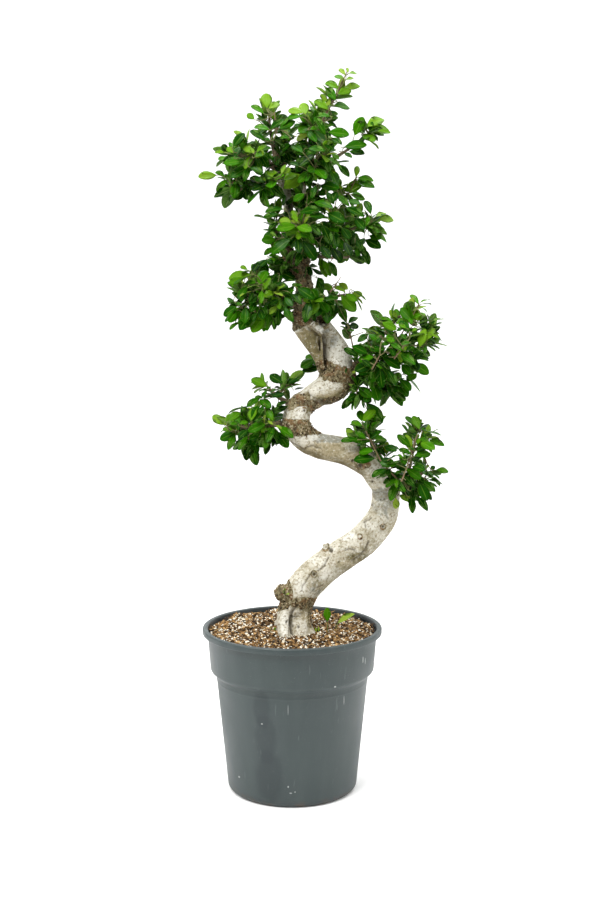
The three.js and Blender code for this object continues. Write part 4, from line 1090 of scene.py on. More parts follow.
# Leaves that show one by one, as read in enlarged crops of the photo: [column and row of the
# base, column and row of the tip, tone %, then 1 if edge-on, then the depth in mm if the dome's isn't meant].
# A crop has its corner in the photo, its zoom, and the domes that leaves lie on, read in the whole photo:
# (column, row, half width, half height, depth in mm)
crops = [
    {"pad": "crown", "corner": (190, 60), "zoom": 7.467, "seed": 1,
     "domes": [(285, 142, 72, 52, 84)],
     "leaves": [
        [1090, 300, 1035, 180, 55], [1110, 215, 1012, 128, 75], [1150, 215, 1282, 175, 75],
        [1110, 255, 1205, 222, 70], [1080, 340, 1220, 320, 50], [1160, 110, 1112, 48, 90],
        [1185, 100, 1268, 65, 95], [1150, 140, 1080, 92, 75], [1180, 95, 1170, 40, 100],
        [1165, 150, 1228, 118, 85], [1030, 370, 922, 282, 65], [1020, 320, 965, 232, 85],
        [1045, 420, 925, 375, 45], [1315, 500, 1460, 398, 85], [1310, 510, 1520, 530, 80],
        [1230, 560, 1305, 425, 70], [1290, 560, 1388, 635, 60], [1150, 650, 1305, 635, 40],
        [1150, 690, 1215, 742, 30], [1190, 680, 1300, 695, 35], [1030, 540, 1180, 545, 45],
        [1060, 590, 1140, 650, 20], [860, 410, 860, 298, 90], [840, 395, 750, 350, 85],
        [820, 425, 715, 405, 50], [940, 612, 878, 508, 35], [1010, 560, 955, 425, 40],
        [575, 360, 572, 208, 95], [590, 362, 668, 290, 80], [550, 400, 452, 312, 60],
        [480, 440, 432, 390, 85], [590, 520, 478, 455, 45], [600, 520, 715, 428, 35],
        [600, 600, 535, 580, 30], [560, 600, 465, 510, 30], [840, 690, 770, 620, 30],
        [740, 580, 660, 560, 50], [780, 570, 700, 540, 15], [900, 520, 990, 480, 50],
        [1000, 600, 1080, 670, 25], [880, 660, 985, 665, 40], [325, 645, 400, 525, 20],
        [320, 690, 260, 640, 65], [250, 692, 167, 676, 85], [280, 725, 212, 742, 70],
        [335, 720, 375, 640, 25], [500, 682, 583, 622, 90], [470, 690, 375, 635, 90],
        [480, 700, 440, 650, 100], [490, 722, 570, 660, 70], [415, 755, 262, 775, 55],
        [395, 745, 228, 765, 20], [440, 800, 285, 870, 32], [440, 800, 415, 912, 30],
        [450, 800, 545, 830, 25], [195, 862, 92, 892, 80], [258, 872, 190, 828, 40],
        [290, 890, 182, 985, 50], [345, 900, 308, 1028, 35], [405, 890, 450, 1052, 22],
        [500, 920, 455, 985, 20], [565, 925, 512, 1052, 35], [480, 880, 560, 930, 15],
        [700, 962, 828, 865, 75], [680, 880, 540, 825, 95], [690, 850, 755, 805, 95],
        [682, 850, 700, 780, 100], [640, 900, 535, 865, 90], [650, 930, 600, 905, 95],
        [700, 900, 795, 828, 75], [812, 792, 735, 762, 20], [938, 702, 818, 785, 18],
        [640, 980, 585, 1040, 30], [990, 720, 1060, 830, 20], [1010, 840, 1045, 890, 20],
        [1060, 700, 1110, 745, 80], [1100, 780, 1190, 880, 35], [960, 800, 1040, 890, 25],
        [880, 800, 945, 860, 15], [860, 870, 900, 960, 15]]},
    {"pad": "middle", "corner": (190, 60), "zoom": 7.467, "seed": 2,
     "domes": [(312, 222, 62, 44, 86)],
     "leaves": [
        [855, 1000, 788, 1072, 50], [800, 1212, 755, 1115, 75], [792, 1242, 660, 1270, 62],
        [798, 1242, 920, 1295, 62], [755, 1212, 662, 1180, 80], [755, 1330, 600, 1445, 32],
        [840, 1350, 955, 1500, 28], [800, 1330, 795, 1425, 22], [690, 1290, 735, 1345, 35],
        [820, 1290, 910, 1335, 30], [645, 1320, 595, 1268, 90], [640, 1342, 540, 1352, 40],
        [695, 1115, 565, 1108, 20], [660, 1150, 558, 1185, 15], [655, 1215, 575, 1258, 15],
        [820, 1142, 970, 1110, 22], [1030, 1142, 1145, 1215, 28], [990, 1230, 1055, 1370, 12],
        [1150, 1360, 1195, 1458, 12], [1310, 1340, 1435, 1425, 28], [1290, 1400, 1340, 1530, 32],
        [1240, 1340, 1290, 1425, 12], [968, 1490, 1012, 1600, 60], [1035, 1500, 1085, 1600, 30],
        [620, 1400, 560, 1460, 40], [640, 1470, 590, 1525, 50], [700, 1470, 650, 1530, 30],
        [830, 1450, 800, 1530, 20], [1240, 872, 1250, 786, 95], [1250, 882, 1388, 890, 60],
        [1250, 890, 1365, 928, 50], [1260, 922, 1375, 966, 50], [1150, 982, 1280, 900, 68],
        [1120, 962, 1090, 880, 55], [1142, 965, 1112, 922, 95], [1350, 1150, 1302, 1048, 22],
        [1335, 1170, 1305, 1235, 50], [1390, 1170, 1478, 1110, 80], [1400, 1192, 1535, 1182, 85],
        [1380, 1215, 1425, 1242, 50], [1310, 1242, 1415, 1290, 40], [1340, 1312, 1420, 1332, 50],
        [940, 940, 890, 1040, 30], [980, 930, 1110, 980, 22], [1100, 980, 1060, 1070, 22],
        [1020, 980, 1060, 1060, 30], [920, 1060, 1040, 1075, 30], [900, 1170, 1010, 1160, 22],
        [1160, 1100, 1290, 1140, 30], [1180, 1050, 1270, 1065, 45], [1090, 1010, 1230, 1080, 55],
        [1230, 1180, 1300, 1260, 20], [1130, 1250, 1190, 1330, 15], [900, 1240, 980, 1310, 15],
        [1060, 1400, 1120, 1500, 10], [980, 1390, 1040, 1470, 10], [560, 1500, 480, 1560, 20]]},
    {"pad": "middle", "corner": (205, 250), "zoom": 9.503, "seed": 8,
     "domes": [],
     "leaves": [
        [985, 165, 1082, 118, 14, 0, 6], [1120, 90, 1185, 240, 60, 0, -16], [600, 60, 700, 40, 35, 0, -20],
        [590, 90, 650, 130, 30, 0, -10]]},
    {"pad": "left", "corner": (205, 250), "zoom": 9.503, "seed": 3,
     "domes": [(255, 298, 31, 33, 64), (297, 300, 29, 24, 68), (345, 298, 22, 12, 20)],
     "leaves": [
        [400, 190, 318, 160, 85], [435, 205, 320, 215, 85, 1], [430, 235, 240, 285, 75],
        [360, 270, 238, 322, 80], [450, 235, 310, 320, 45, 1], [510, 330, 395, 365, 95, 1],
        [480, 310, 375, 300, 60], [510, 330, 595, 180, 65], [545, 385, 630, 235, 70],
        [510, 170, 590, 90, 22], [445, 215, 500, 130, 15], [640, 200, 695, 125, 10],
        [405, 345, 280, 460, 50], [440, 395, 325, 440, 95, 1], [460, 400, 415, 490, 10, 1],
        [540, 385, 535, 520, 55], [610, 400, 755, 375, 42], [870, 280, 690, 200, 20],
        [870, 290, 700, 285, 25, 1], [895, 290, 925, 125, 22], [920, 310, 1090, 235, 20],
        [1065, 260, 1135, 330, 15], [1070, 280, 1110, 390, 15], [880, 360, 1030, 445, 32],
        [910, 360, 820, 310, 32], [810, 410, 920, 510, 18], [760, 450, 835, 530, 20],
        [1000, 470, 930, 635, 33], [1100, 490, 1080, 620, 30], [1120, 440, 1035, 495, 32],
        [1140, 440, 1215, 510, 30], [1220, 375, 1100, 315, 78], [1215, 340, 1340, 400, 85],
        [1275, 310, 1365, 385, 85], [1290, 430, 1415, 570, 68], [1340, 410, 1450, 510, 60],
        [1410, 410, 1520, 575, 50, 1], [1400, 385, 1555, 465, 70, 1], [1345, 690, 1245, 520, 55],
        [390, 545, 350, 695, 32], [300, 540, 178, 642, 25], [300, 580, 205, 670, 55],
        [325, 685, 232, 730, 50], [440, 600, 380, 760, 18], [500, 600, 395, 745, 48],
        [560, 620, 480, 785, 55], [600, 630, 555, 770, 50], [620, 600, 600, 750, 48],
        [700, 550, 688, 730, 28], [745, 540, 825, 665, 35], [480, 490, 430, 600, 30],
        [520, 560, 570, 665, 10], [560, 520, 575, 615, 20], [680, 530, 595, 590, 95],
        [590, 490, 680, 440, 15], [640, 330, 770, 330, 12], [640, 335, 725, 250, 25],
        [300, 505, 355, 530, 60], [1120, 555, 1190, 632, 8, 1], [990, 580, 935, 665, 30],
        [1020, 560, 1035, 665, 20], [640, 420, 760, 400, 15], [700, 470, 600, 500, 18],
        [860, 330, 930, 330, 30], [500, 440, 430, 520, 30], [690, 230, 640, 280, 10],
        [760, 210, 700, 170, 15]]},
    {"pad": "right", "corner": (335, 285), "zoom": 12.06, "seed": 4,
     "domes": [
         (401, 343, 34, 30, 64), (429, 327, 17, 23, 34), (372, 356, 28, 23, 58), (387, 376, 22, 14, 44)],
     "leaves": [
        [165, 470, 295, 360, 20, 0, 0], [170, 510, 305, 465, 22, 0, 0], [140, 480, 70, 430, 22, 0, 0],
        [150, 545, 215, 555, 30, 0, -6], [100, 530, 0, 500, 20, 1, 0], [130, 640, 20, 560, 30, 0, 0],
        [330, 580, 130, 680, 12], [400, 590, 250, 680, 28], [400, 590, 560, 690, 35],
        [390, 830, 200, 725, 25], [430, 745, 220, 690, 45, 1], [600, 790, 440, 750, 45],
        [460, 870, 290, 890, 40], [660, 700, 800, 765, 50], [660, 700, 540, 700, 45],
        [540, 990, 560, 1228, 27], [440, 1040, 405, 1240, 24], [620, 1010, 722, 1172, 20],
        [570, 860, 785, 1015, 38], [790, 830, 942, 940, 32], [800, 950, 903, 1080, 45],
        [950, 950, 1130, 1055, 58], [985, 1070, 850, 1130, 60], [850, 1090, 1042, 1297, 55, 1],
        [610, 1165, 780, 1455, 35], [740, 1170, 885, 1325, 38], [780, 1130, 890, 1240, 40],
        [470, 1210, 520, 1385, 28], [430, 1290, 370, 1400, 40], [280, 1230, 420, 1330, 33],
        [250, 1330, 25, 1485, 28], [250, 1240, 140, 1320, 14], [330, 1060, 240, 1200, 10],
        [430, 960, 250, 1020, 14], [280, 860, 140, 740, 12], [735, 450, 690, 278, 80],
        [740, 470, 885, 385, 60], [950, 465, 812, 275, 66], [850, 385, 765, 305, 40, 1],
        [1010, 230, 903, 85, 75], [1025, 215, 1145, 160, 85, 1], [1050, 230, 1175, 217, 55, 1],
        [945, 265, 870, 205, 35], [1005, 440, 955, 240, 78], [1010, 430, 1095, 330, 72],
        [1090, 372, 1182, 378, 85, 1], [1040, 270, 1118, 318, 50, 1], [1000, 470, 1170, 427, 55, 1],
        [1170, 430, 1335, 405, 90, 1], [1010, 500, 1135, 468, 50, 1], [930, 560, 1010, 500, 70],
        [1000, 520, 1105, 520, 60, 1], [1115, 660, 1205, 510, 85], [1165, 600, 1250, 625, 85],
        [1120, 695, 1372, 693, 80, 1], [1115, 725, 1275, 748, 50, 1], [1020, 750, 1060, 545, 72],
        [900, 620, 1080, 610, 85, 1], [1090, 720, 1065, 810, 45], [960, 745, 1140, 880, 42, 1],
        [970, 885, 1130, 895, 70, 1], [960, 900, 1060, 830, 25], [700, 470, 540, 395, 58],
        [530, 400, 440, 343, 62, 1], [570, 450, 745, 515, 78], [610, 570, 500, 535, 35, 1],
        [600, 630, 525, 495, 22, 1], [600, 640, 740, 618, 65], [620, 660, 710, 668, 55],
        [900, 570, 812, 430, 40], [860, 520, 750, 480, 55], [860, 660, 790, 580, 20],
        [900, 690, 770, 700, 40], [680, 760, 720, 860, 22], [850, 800, 960, 760, 32],
        [700, 590, 620, 480, 50], [930, 470, 900, 400, 50], [740, 560, 820, 520, 30],
        [560, 640, 480, 690, 30], [640, 860, 560, 820, 20], [820, 900, 900, 960, 30],
        [440, 1040, 330, 1010, 15], [330, 900, 420, 960, 15], [520, 940, 600, 960, 12]]},
    {"pad": "lower_left", "corner": (205, 355), "zoom": 12.06, "seed": 5,
     "domes": [(253, 425, 33, 25, 66), (260, 398, 19, 13, 34), (277, 424, 20, 18, 58)],
     "leaves": [
        [980, 350, 1185, 162, 18, 0, -4], [940, 345, 742, 237, 12, 0, -6], [745, 385, 560, 268, 80, 0, -10],
        [975, 400, 800, 435, 40, 1, -20], [1130, 362, 980, 390, 40, 1, -10],
        [1130, 362, 1285, 350, 15, 1, -2], [1080, 420, 1195, 390, 8, 1, -2],
        [740, 420, 790, 362, 40, 1, -30], [740, 420, 680, 495, 35, 1, -34],
        [740, 410, 650, 435, 40, 1, -20], [665, 520, 530, 625, 28], [660, 530, 790, 620, 32],
        [700, 520, 600, 488, 35], [570, 800, 645, 600, 38], [560, 790, 598, 640, 75, 1],
        [820, 800, 700, 615, 50], [862, 810, 1090, 600, 58], [900, 812, 1100, 742, 20],
        [870, 860, 1085, 980, 50], [830, 870, 745, 1010, 45], [730, 830, 520, 885, 40],
        [870, 920, 975, 1120, 28], [720, 930, 650, 1135, 27], [780, 1040, 720, 1200, 14],
        [560, 1060, 600, 1310, 40], [545, 1080, 490, 1265, 20, 1], [520, 980, 340, 1135, 35, 1],
        [520, 980, 420, 1110, 55], [370, 960, 245, 1110, 65], [360, 940, 160, 1055, 33],
        [520, 900, 370, 965, 25], [540, 930, 390, 992, 20, 1], [260, 840, 62, 735, 85],
        [290, 790, 410, 690, 55], [250, 800, 310, 730, 80], [300, 840, 420, 800, 45],
        [330, 900, 195, 872, 60], [420, 830, 530, 800, 50], [400, 910, 405, 860, 15],
        [530, 622, 300, 670, 30, 1, -30], [1000, 620, 830, 670, 8, 0, -30], [960, 470, 820, 500, 4, 0, -26],
        [980, 560, 850, 600, 5, 0, -30], [800, 1000, 900, 1075, 30], [1322, 58, 1140, 120, 50, 0, 26],
        [1395, 152, 1200, 182, 33, 0, 26], [1400, 130, 1230, 0, 50, 0, 26],
        [1378, 208, 1252, 325, 50, 0, 24], [820, 840, 780, 798, 100], [850, 850, 920, 882, 100],
        [980, 1010, 900, 960, 20], [650, 980, 560, 1020, 20], [700, 760, 600, 770, 15],
        [860, 1000, 800, 1090, 15], [700, 600, 640, 690, 20]]},
    {"pad": "lower_right", "corner": (330, 395), "zoom": 12.544, "seed": 6,
     "domes": [
         (404, 461, 33, 27, 56), (368, 436, 19, 26, 32), (418, 490, 22, 17, 42), (417, 433, 14, 22, 20)],
     "leaves": [
        [450, 95, 665, 325, 48, 0, -8], [410, 330, 590, 160, 72, 0, -22], [400, 330, 390, 193, 50, 0, -16],
        [405, 385, 235, 342, 55, 0, -28], [430, 400, 680, 330, 24, 0, -10],
        [455, 460, 642, 470, 25, 0, -14], [500, 575, 620, 420, 25, 0, -10],
        [290, 462, 200, 455, 85, 0, -14], [445, 540, 285, 478, 40, 0, -40],
        [345, 560, 120, 552, 28, 0, -38], [542, 700, 348, 718, 48, 0, -48],
        [560, 792, 278, 788, 24, 0, -42], [460, 560, 360, 602, 15, 0, -32],
        [610, 780, 600, 600, 28, 0, -12], [680, 640, 825, 700, 28, 0, -14], [720, 630, 862, 672, 35, 1, -8],
        [500, 580, 540, 660, 10, 0, -6], [700, 930, 497, 948, 24, 0, -46], [840, 870, 640, 828, 40],
        [760, 800, 650, 810, 14], [760, 800, 882, 738, 30, 1], [790, 1030, 660, 1090, 15],
        [850, 1080, 770, 1290, 30], [930, 1010, 1060, 1145, 27], [960, 920, 1165, 1060, 43],
        [1030, 890, 1210, 950, 24], [1150, 1080, 1350, 1215, 33], [1120, 1100, 1220, 1330, 30],
        [1090, 1270, 1210, 1410, 24], [1020, 1280, 1040, 1480, 40], [870, 1250, 990, 1310, 75],
        [820, 1300, 850, 1392, 85], [750, 1282, 720, 1268, 90], [1020, 1190, 1110, 1130, 30],
        [1000, 1260, 1040, 1190, 14], [1322, 940, 1515, 955, 66, 0, 0], [1260, 940, 1312, 890, 30, 0, 0],
        [1290, 990, 1378, 1052, 45, 1, 0], [1210, 1022, 1330, 1030, 85, 1, -6],
        [1280, 960, 1220, 990, 28, 0, -4], [1120, 430, 1040, 255, 60], [1050, 380, 940, 290, 50, 1],
        [1085, 520, 975, 375, 48], [1140, 430, 1255, 430, 45], [1180, 450, 1380, 465, 50, 1],
        [1170, 470, 1212, 550, 38], [970, 470, 895, 380, 30, 1], [1010, 650, 862, 490, 45],
        [1030, 560, 930, 480, 24], [1020, 740, 870, 640, 37], [1000, 742, 900, 742, 50, 1],
        [1110, 540, 1230, 580, 52], [1240, 560, 1440, 596, 42], [1130, 590, 1290, 682, 58],
        [1200, 620, 1340, 672, 20, 1], [1065, 770, 1265, 750, 33], [1090, 702, 1230, 650, 15],
        [1090, 620, 1122, 560, 60], [960, 880, 850, 780, 33], [910, 800, 870, 750, 75],
        [1020, 820, 1100, 790, 10], [1060, 700, 1010, 640, 35], [880, 500, 832, 494, 90, 1, -4],
        [900, 960, 800, 960, 15], [980, 1180, 900, 1130, 12], [1080, 1010, 1160, 1090, 20],
        [940, 1060, 870, 1000, 15], [700, 1000, 760, 930, 15]]},
]
ownFacts = {
    "fullLength": 42.5, "sizes": (0.24, 1.06), "besideDomes": (-16, 4), "youngTone": 84, "smallest": 0.6,
    "spread": 0.25, "mostLean": 1.22, "toneShare": 0.009, "toneDrop": 0.02,
}
# Twigs that show, read in the whole photo: [(column, row, depth in mm) of the foot and of the end, thickness]
ownTwigs = {
    "crown": [[(325, 117, 0), (348, 70, -4), 1.7], [(277, 133, -70), (274, 112, -62), 1.2]],
    "middle": [[(345, 200, 0), (357, 176, -6), 1.3]],
    "right": [
        [(354, 352, 2), (349, 326, 0), 1.5], [(371.9, 369.2, -62), (380.5, 353.5, -66), 1.3],
        [(393.9, 358.6, -66), (404.4, 345.7, -66), 1.3], [(398, 340, -30), (419.5, 304, -12), 1.2],
        [(412, 362, -10), (418, 354, -8), 1.0], [(420, 350, -20), (428, 342, -16), 1.1]],
    "left": [[(330, 292, -30), (341, 277, -8), 1.2]],
    "lower_right": [
        [(398, 480, -30), (381, 461, -36), 1.6], [(381, 461, -36), (362.5, 424, -18), 1.5],
        [(401, 481.9, -58), (406.7, 466.7, -56), 1.5], [(406.7, 466.7, -56), (417, 434, -22), 1.4],
        [(425, 460, -6), (431, 470, -4), 1.1], [(422, 480, -8), (430, 471, -4), 1.1]],
    "lower_left": [[(327, 373, 18), (320.5, 367.5, 27), 1.4], [(273, 424, -50), (280, 420, -30), 1.3]],
}
# Single leaves: [foot of the stalk, end of the stalk, where its face turns, size, tone]
sprouts = {
    "soil_shoot": [
        [[59, -30, 262], [58, -30.5, 290], [0.1, -1, 0.1], 0.62, 0.6],
        [[70, -22, 262], [75, -20, 284], [-0.3, -0.5, 1], 0.75, 0.9],
        [[43, -34, 262], [44, -35, 274], [0, -0.6, 1], 0.2, 1.0],
        [[42, -34, 262], [40, -35, 273], [0, -0.6, 1], 0.18, 1.0],
        [[-33, -34, 262], [-35, -35, 276], [0, -0.6, 1], 0.22, 1.0],
        [[-32, -34, 262], [-30, -36, 274], [0, -0.6, 1], 0.2, 0.95]],
    "trunk_sprouts": [
        [[-12, -34, 336], [-14, -42, 342], [-0.3, -1, 0.3], 0.2, 0.95],
        [[-12, -34, 336], [-9, -42, 339], [0.3, -1, 0.3], 0.22, 1.0],
        [[-12, -34, 338], [-12, -42, 345], [0, -1, 0.1], 0.16, 1.0],
        [[92, -10, 694], [88, -32, 702], [0, -1, 0.2], 0.42, 0.2],
        [[94, -12, 694], [99, -33, 700], [0.3, -1, 0.3], 0.28, 1.0],
        [[94, -12, 694], [101, -33, 706], [0.3, -1, 0.3], 0.22, 1.0],
        [[158, -6, 496], [176, -12, 498], [0.1, -1, 0.4], 0.42, 0.95],
        [[160, -6, 496], [171, -12, 494], [0, -1, 0.2], 0.42, 0.9]],
}
sproutHeadings = {
    "soil_shoot": {0: [-0.1, 0, 1], 1: [1, 0.05, 0.75]},
    "trunk_sprouts": {6: [1, 0, -0.25], 7: [0, 0, -1]},
}
bareTwigs = {"foot": [-22, -6, 1024], "number": 16, "length": [16, 30], "thickness": 1.2}


def leafMesh(name, widthShare, fold, arch, wave):  # base at the origin, along +Y, with its face to +Z
    f = leafFacts
    length = f["length"]
    verts = []
    marks = []
    rows = []

    def station(share, half, steps):
        row = []
        for k in range(steps):
            across = k / (steps - 1) * 2 - 1
            ripple = wave * math.sin(share * 7 + 2 * across) * abs(across)
            lift = fold * half * abs(across) - arch * share ** 2 + ripple
            row.append(len(verts))
            verts.append((across * half * mm, share * length * mm, lift * mm))
            marks.append((across * 0.5 + 0.5, max(share, 0)))
        under = len(verts)
        sink = f["rib"] * (1 - 0.6 * max(share, 0))
        verts.append((0, share * length * mm, (-arch * share ** 2 - sink) * mm))
        marks.append((0.5, max(share, 0)))
        rows.append((row, under))

    station(-f["petiole"], 0.8, 3)
    station(0.0, 0.7, 3)
    for share in f["stations"]:
        swell = math.sin(math.pi * share ** 1.12) ** (0.78 if share < 0.54 else 0.6)
        station(share, 0.5 * f["width"] * widthShare * swell, 5)
    tip = len(verts)
    verts.append((0, length * mm, -arch * mm))
    marks.append((0.5, 1.0))
    tops = []
    unders = [[rows[0][0][0], rows[0][0][1], rows[0][0][2], rows[0][1]][::-1]]
    for (low, lowUnder), (high, highUnder) in zip(rows, rows[1:]):
        if len(low) == len(high):
            tops += [[low[k], low[k + 1], high[k + 1], high[k]] for k in range(len(low) - 1)]
        else:
            tops += [[low[0], high[1], high[0]], [low[0], low[1], high[2], high[1]]]
            tops += [[low[1], low[2], high[3], high[2]], [low[2], high[4], high[3]]]
        unders += [[low[0], high[0], highUnder, lowUnder], [lowUnder, highUnder, high[-1], low[-1]]]
    last, lastUnder = rows[-1]
    tops += [[last[k], last[k + 1], tip] for k in range(4)]
    unders += [[last[0], tip, lastUnder], [lastUnder, tip, last[-1]]]
    mesh = bpy.data.meshes.new(name)
    mesh.from_pydata(verts, [], tops + unders)
    layer = mesh.uv_layers.new(name="leafMap")
    for face in mesh.polygons:
        shift = 2.0 if face.index >= len(tops) else 0.0
        for corner in face.loop_indices:
            u, v = marks[mesh.loops[corner].vertex_index]
            layer.data[corner].uv = (u + shift, v)
    smooth(mesh)
    return mesh


def leafMaterial():
    made, shader, spot = newMaterial("ficus leaf", {
        "Specular IOR Level": 0.05, "Specular Tint": (0.6, 1.0, 0.35, 1.0), "Coat Roughness": 0.3,
        "Coat IOR": 1.42})
    tone = attribute(shader, "leafTone")
    leafMap = attribute(shader, "leafMap", "Vector")
    parts = shader.make("ShaderNodeSeparateXYZ", None, {0: leafMap})
    u, v = parts.port("X"), parts.port("Y")
    under = u > 1.5
    across = (u - under * 2.0 - 0.5).size() * 2.0
    broad = grain(shader, spot, 60, 3)
    fine = grain(shader, spot, 900, 2, 0.6)
    base = (tone + (broad - 0.5) * 0.25 + (fine - 0.5) * 0.12).ramp([
        (0.0, (0.001, 0.02, 0.0002)), (0.25, (0.006, 0.06, 0.0002)), (0.5, (0.03, 0.145, 0.0005)),
        (0.75, (0.105, 0.228, 0.007)), (1.0, (0.23, 0.32, 0.035))])
    rib = across.fade(0.1, 0.03) * v.fade(1.0, 0.75)
    veins = ((v * 9.0 - across * 2.6) * math.tau).wave("COSINE").fade(0.86, 1.0) * across.fade(0.04, 0.2)
    # painted highlight: the leaf's rim is coloured a lighter green
    rim = across.fade(0.88, 0.98)
    base = (rib * 0.35 + veins * 0.1).mix(base, (0.17, 0.31, 0.03))
    base = (rim * 0.4).mix(base, (0.17, 0.31, 0.02))
    pale = (tone * 0.7 + 0.15).ramp([
        (0.0, (0.03, 0.085, 0.012)), (0.6, (0.09, 0.2, 0.025)), (1.0, (0.26, 0.42, 0.05))])
    pale = (rib * 0.6 + veins * 0.3).mix(pale, (0.3, 0.4, 0.16))
    base = under.mix(base, pale)
    stalk = v.fade(0.03, 0.0)
    base = stalk.mix(base, (0.16, 0.2, 0.05))
    bump = bumps(rib * 1.5 + veins * 0.8 + broad, 0.35, 0.0005)
    rough = under * 0.22 + broad.fade(0.3, 0.7, 0.26, 0.38)
    sheen = grain(shader, spot, 24, 2, 0.4).fade(0.5, 0.66) * (1.0 - under) * 0.28
    feed(shader, {"Base Color": base, "Roughness": rough, "Coat Weight": sheen, "Normal": bump})
    return made


def twigMaterial():
    made, shader, spot = newMaterial("twig bark", {"Specular IOR Level": 0.3})
    young = attribute(shader, "young")
    fibre = grain(shader, spot, 500, 3, 0.6)
    old = fibre.ramp([(0.3, (0.1, 0.06, 0.03)), (0.7, (0.26, 0.18, 0.1))])
    green = fibre.ramp([(0.3, (0.07, 0.1, 0.02)), (0.7, (0.17, 0.2, 0.06))])
    bump = bumps(fibre, 0.4, 0.0005)
    base = young.fade(0.55, 0.95).mix(old, green)
    feed(shader, {"Base Color": base, "Roughness": fibre.fade(0, 1, 0.55, 0.8), "Normal": bump})
    return made


def vectorNode(start, operation, *sides):
    return start.make("ShaderNodeVectorMath", {"operation": operation}, dict(enumerate(sides)))


def leafyShootTree(material):
    leaves = ["Leaf A", "Leaf B", "Leaf C", "Leaf D"]
    sizes = [
        "Trunk Clearance", "Bough Clearance", "Leaf Length", "Tip Tilt", "Base Tilt", "Hang", "Spread",
        "Faces Sky"]
    inputs = {label: "NodeSocketObject" for label in [*leaves, "Trunk", "Boughs"]}
    tree, start = newTree("leafy shoots", inputs | {label: 1.0 for label in sizes} | {"Seed": 1})
    key = start.port("Seed")
    path = start.make("GeometryNodeMeshToCurve", None, {"Mesh": start})
    heading = start.make("GeometryNodeInputTangent")
    flat = vectorNode(start, "NORMALIZE", vectorNode(start, "CROSS_PRODUCT", (0, 0, 1), heading))
    upright = vectorNode(start, "CROSS_PRODUCT", heading, flat)
    index = start.make("GeometryNodeSplineParameter").port("Index")
    turn = index * math.radians(137.5) + named(start, "turn")
    free = 1.0 - named(start, "own")
    tilt = named(start, "fromTip").fade(0.0, 30 * mm, start.port("Tip Tilt"), start.port("Base Tilt")) * free
    tilt = tilt + chance(start, -0.2, 0.2, key + 1)
    side = flat * turn.wave("COSINE") + upright * turn.wave("SINE")
    along = heading * tilt.wave("COSINE") + side * tilt.wave("SINE")
    outward = named(start, "outward", "FLOAT_VECTOR")
    sink = upward(start.port("Hang") * named(start, "hang") * chance(start, -1.4, -0.5, key + 2))
    along = vectorNode(start, "NORMALIZE", along + outward * (start.port("Spread") * free) + sink)
    stray = chance(start, (-0.3, -0.3, -0.3), (0.3, 0.3, 0.3), key + 3, "FLOAT_VECTOR")
    face = outward + heading * 0.35 + upward(start.port("Faces Sky")) + stray
    turned = start.make("FunctionNodeAlignRotationToVector", {"axis": "Y"}, {"Vector": along})
    turned = start.make("FunctionNodeAlignRotationToVector", {"axis": "Z", "pivot_axis": "Y"}, {
        "Rotation": turned, "Vector": face})
    size = named(start, "leafSize") * chance(start, 0.84, 1.1, key + 4)
    spot = start.make("GeometryNodeInputPosition")
    clear = named(start, "leafSize") > 0.05
    for label, clearance in (("Trunk", "Trunk Clearance"), ("Boughs", "Bough Clearance")):
        wood = given(start, label)
        for share in (0.45, 1.0):  # the middle and the tip of a leaf
            sample = spot + along * (size * start.port("Leaf Length") * share)
            near = start.make("GeometryNodeProximity", {"target_element": "FACES"}, {
                0: wood, "Sample Position": sample}, "Distance")
            clear = clear * (near > start.port(clearance))
    path = store(path, "leafTone", named(start, "tone") + chance(start, -0.12, 0.12, key + 5))
    placed = start.make("GeometryNodeInstanceOnPoints", None, {
        "Points": path, "Selection": clear > 0.5, "Instance": choices(start, leaves), "Pick Instance": True,
        "Instance Index": chance(start, 0, 3, 31, "INT"), "Rotation": turned, "Scale": size})
    endTree(placed, material)
    return tree


def bent(shoot, share):  # a point on a shoot's curve
    foot, middle, end = shoot["bend"]
    return foot.lerp(middle, share).lerp(middle.lerp(end, share), share)


def shootTo(foot, reach, size=1.0, thickness=shootFacts["thickness"], shortest=shootFacts["shortest"]):
    f = shootFacts
    span = reach - foot
    length = max(span.length - f["leafPastTwig"] * leafFacts["length"] * size, shortest)
    end = foot + span.normalized() * length
    bend = (foot, foot.lerp(end, 0.55) - up * (f["sag"] * length), end)
    return {"bend": bend, "length": length, "reach": reach, "size": size, "thickness": thickness}


def footOn(path, share):  # a share of the way along a bough by length
    points = [point for point, _ in smoothPath(path, 30)]
    total = sum((b - a).length for a, b in zip(points, points[1:]))
    left = share * total
    for a, b in zip(points, points[1:]):
        step = (b - a).length
        if left <= step:
            return a.lerp(b, left / step)
        left -= step
    return points[-1]


def mainShoots(bough):  # one shoot for each spray, and its side shoots
    f = shootFacts
    made = []
    sprays = boughs[bough]["sprays"]
    for i, reaches in enumerate(sprays):
        share = f["lastFootShare"] - f["footSpread"] * (len(sprays) - 1 - i) / len(sprays)
        first = shootTo(footOn(boughs[bough]["path"], share), Vector(reaches[0]))
        made.append(first)
        for k, reach in enumerate(reaches[1:]):
            foot = bent(first, f["firstFork"] + f["nextFork"] * k)
            made.append(shootTo(foot, Vector(reach), thickness=f["sideThickness"]))
    return made


def inLobe(spot, lobe):  # where a place is in a lobe, with its surface at a length of 1
    return Vector([(spot[k] - lobe[k]) / lobe[k + 3] for k in range(3)])


def boughPoints(pad):
    return [point for name in pads[pad]["boughs"] for point, _ in smoothPath(boughs[name]["path"], 10)]


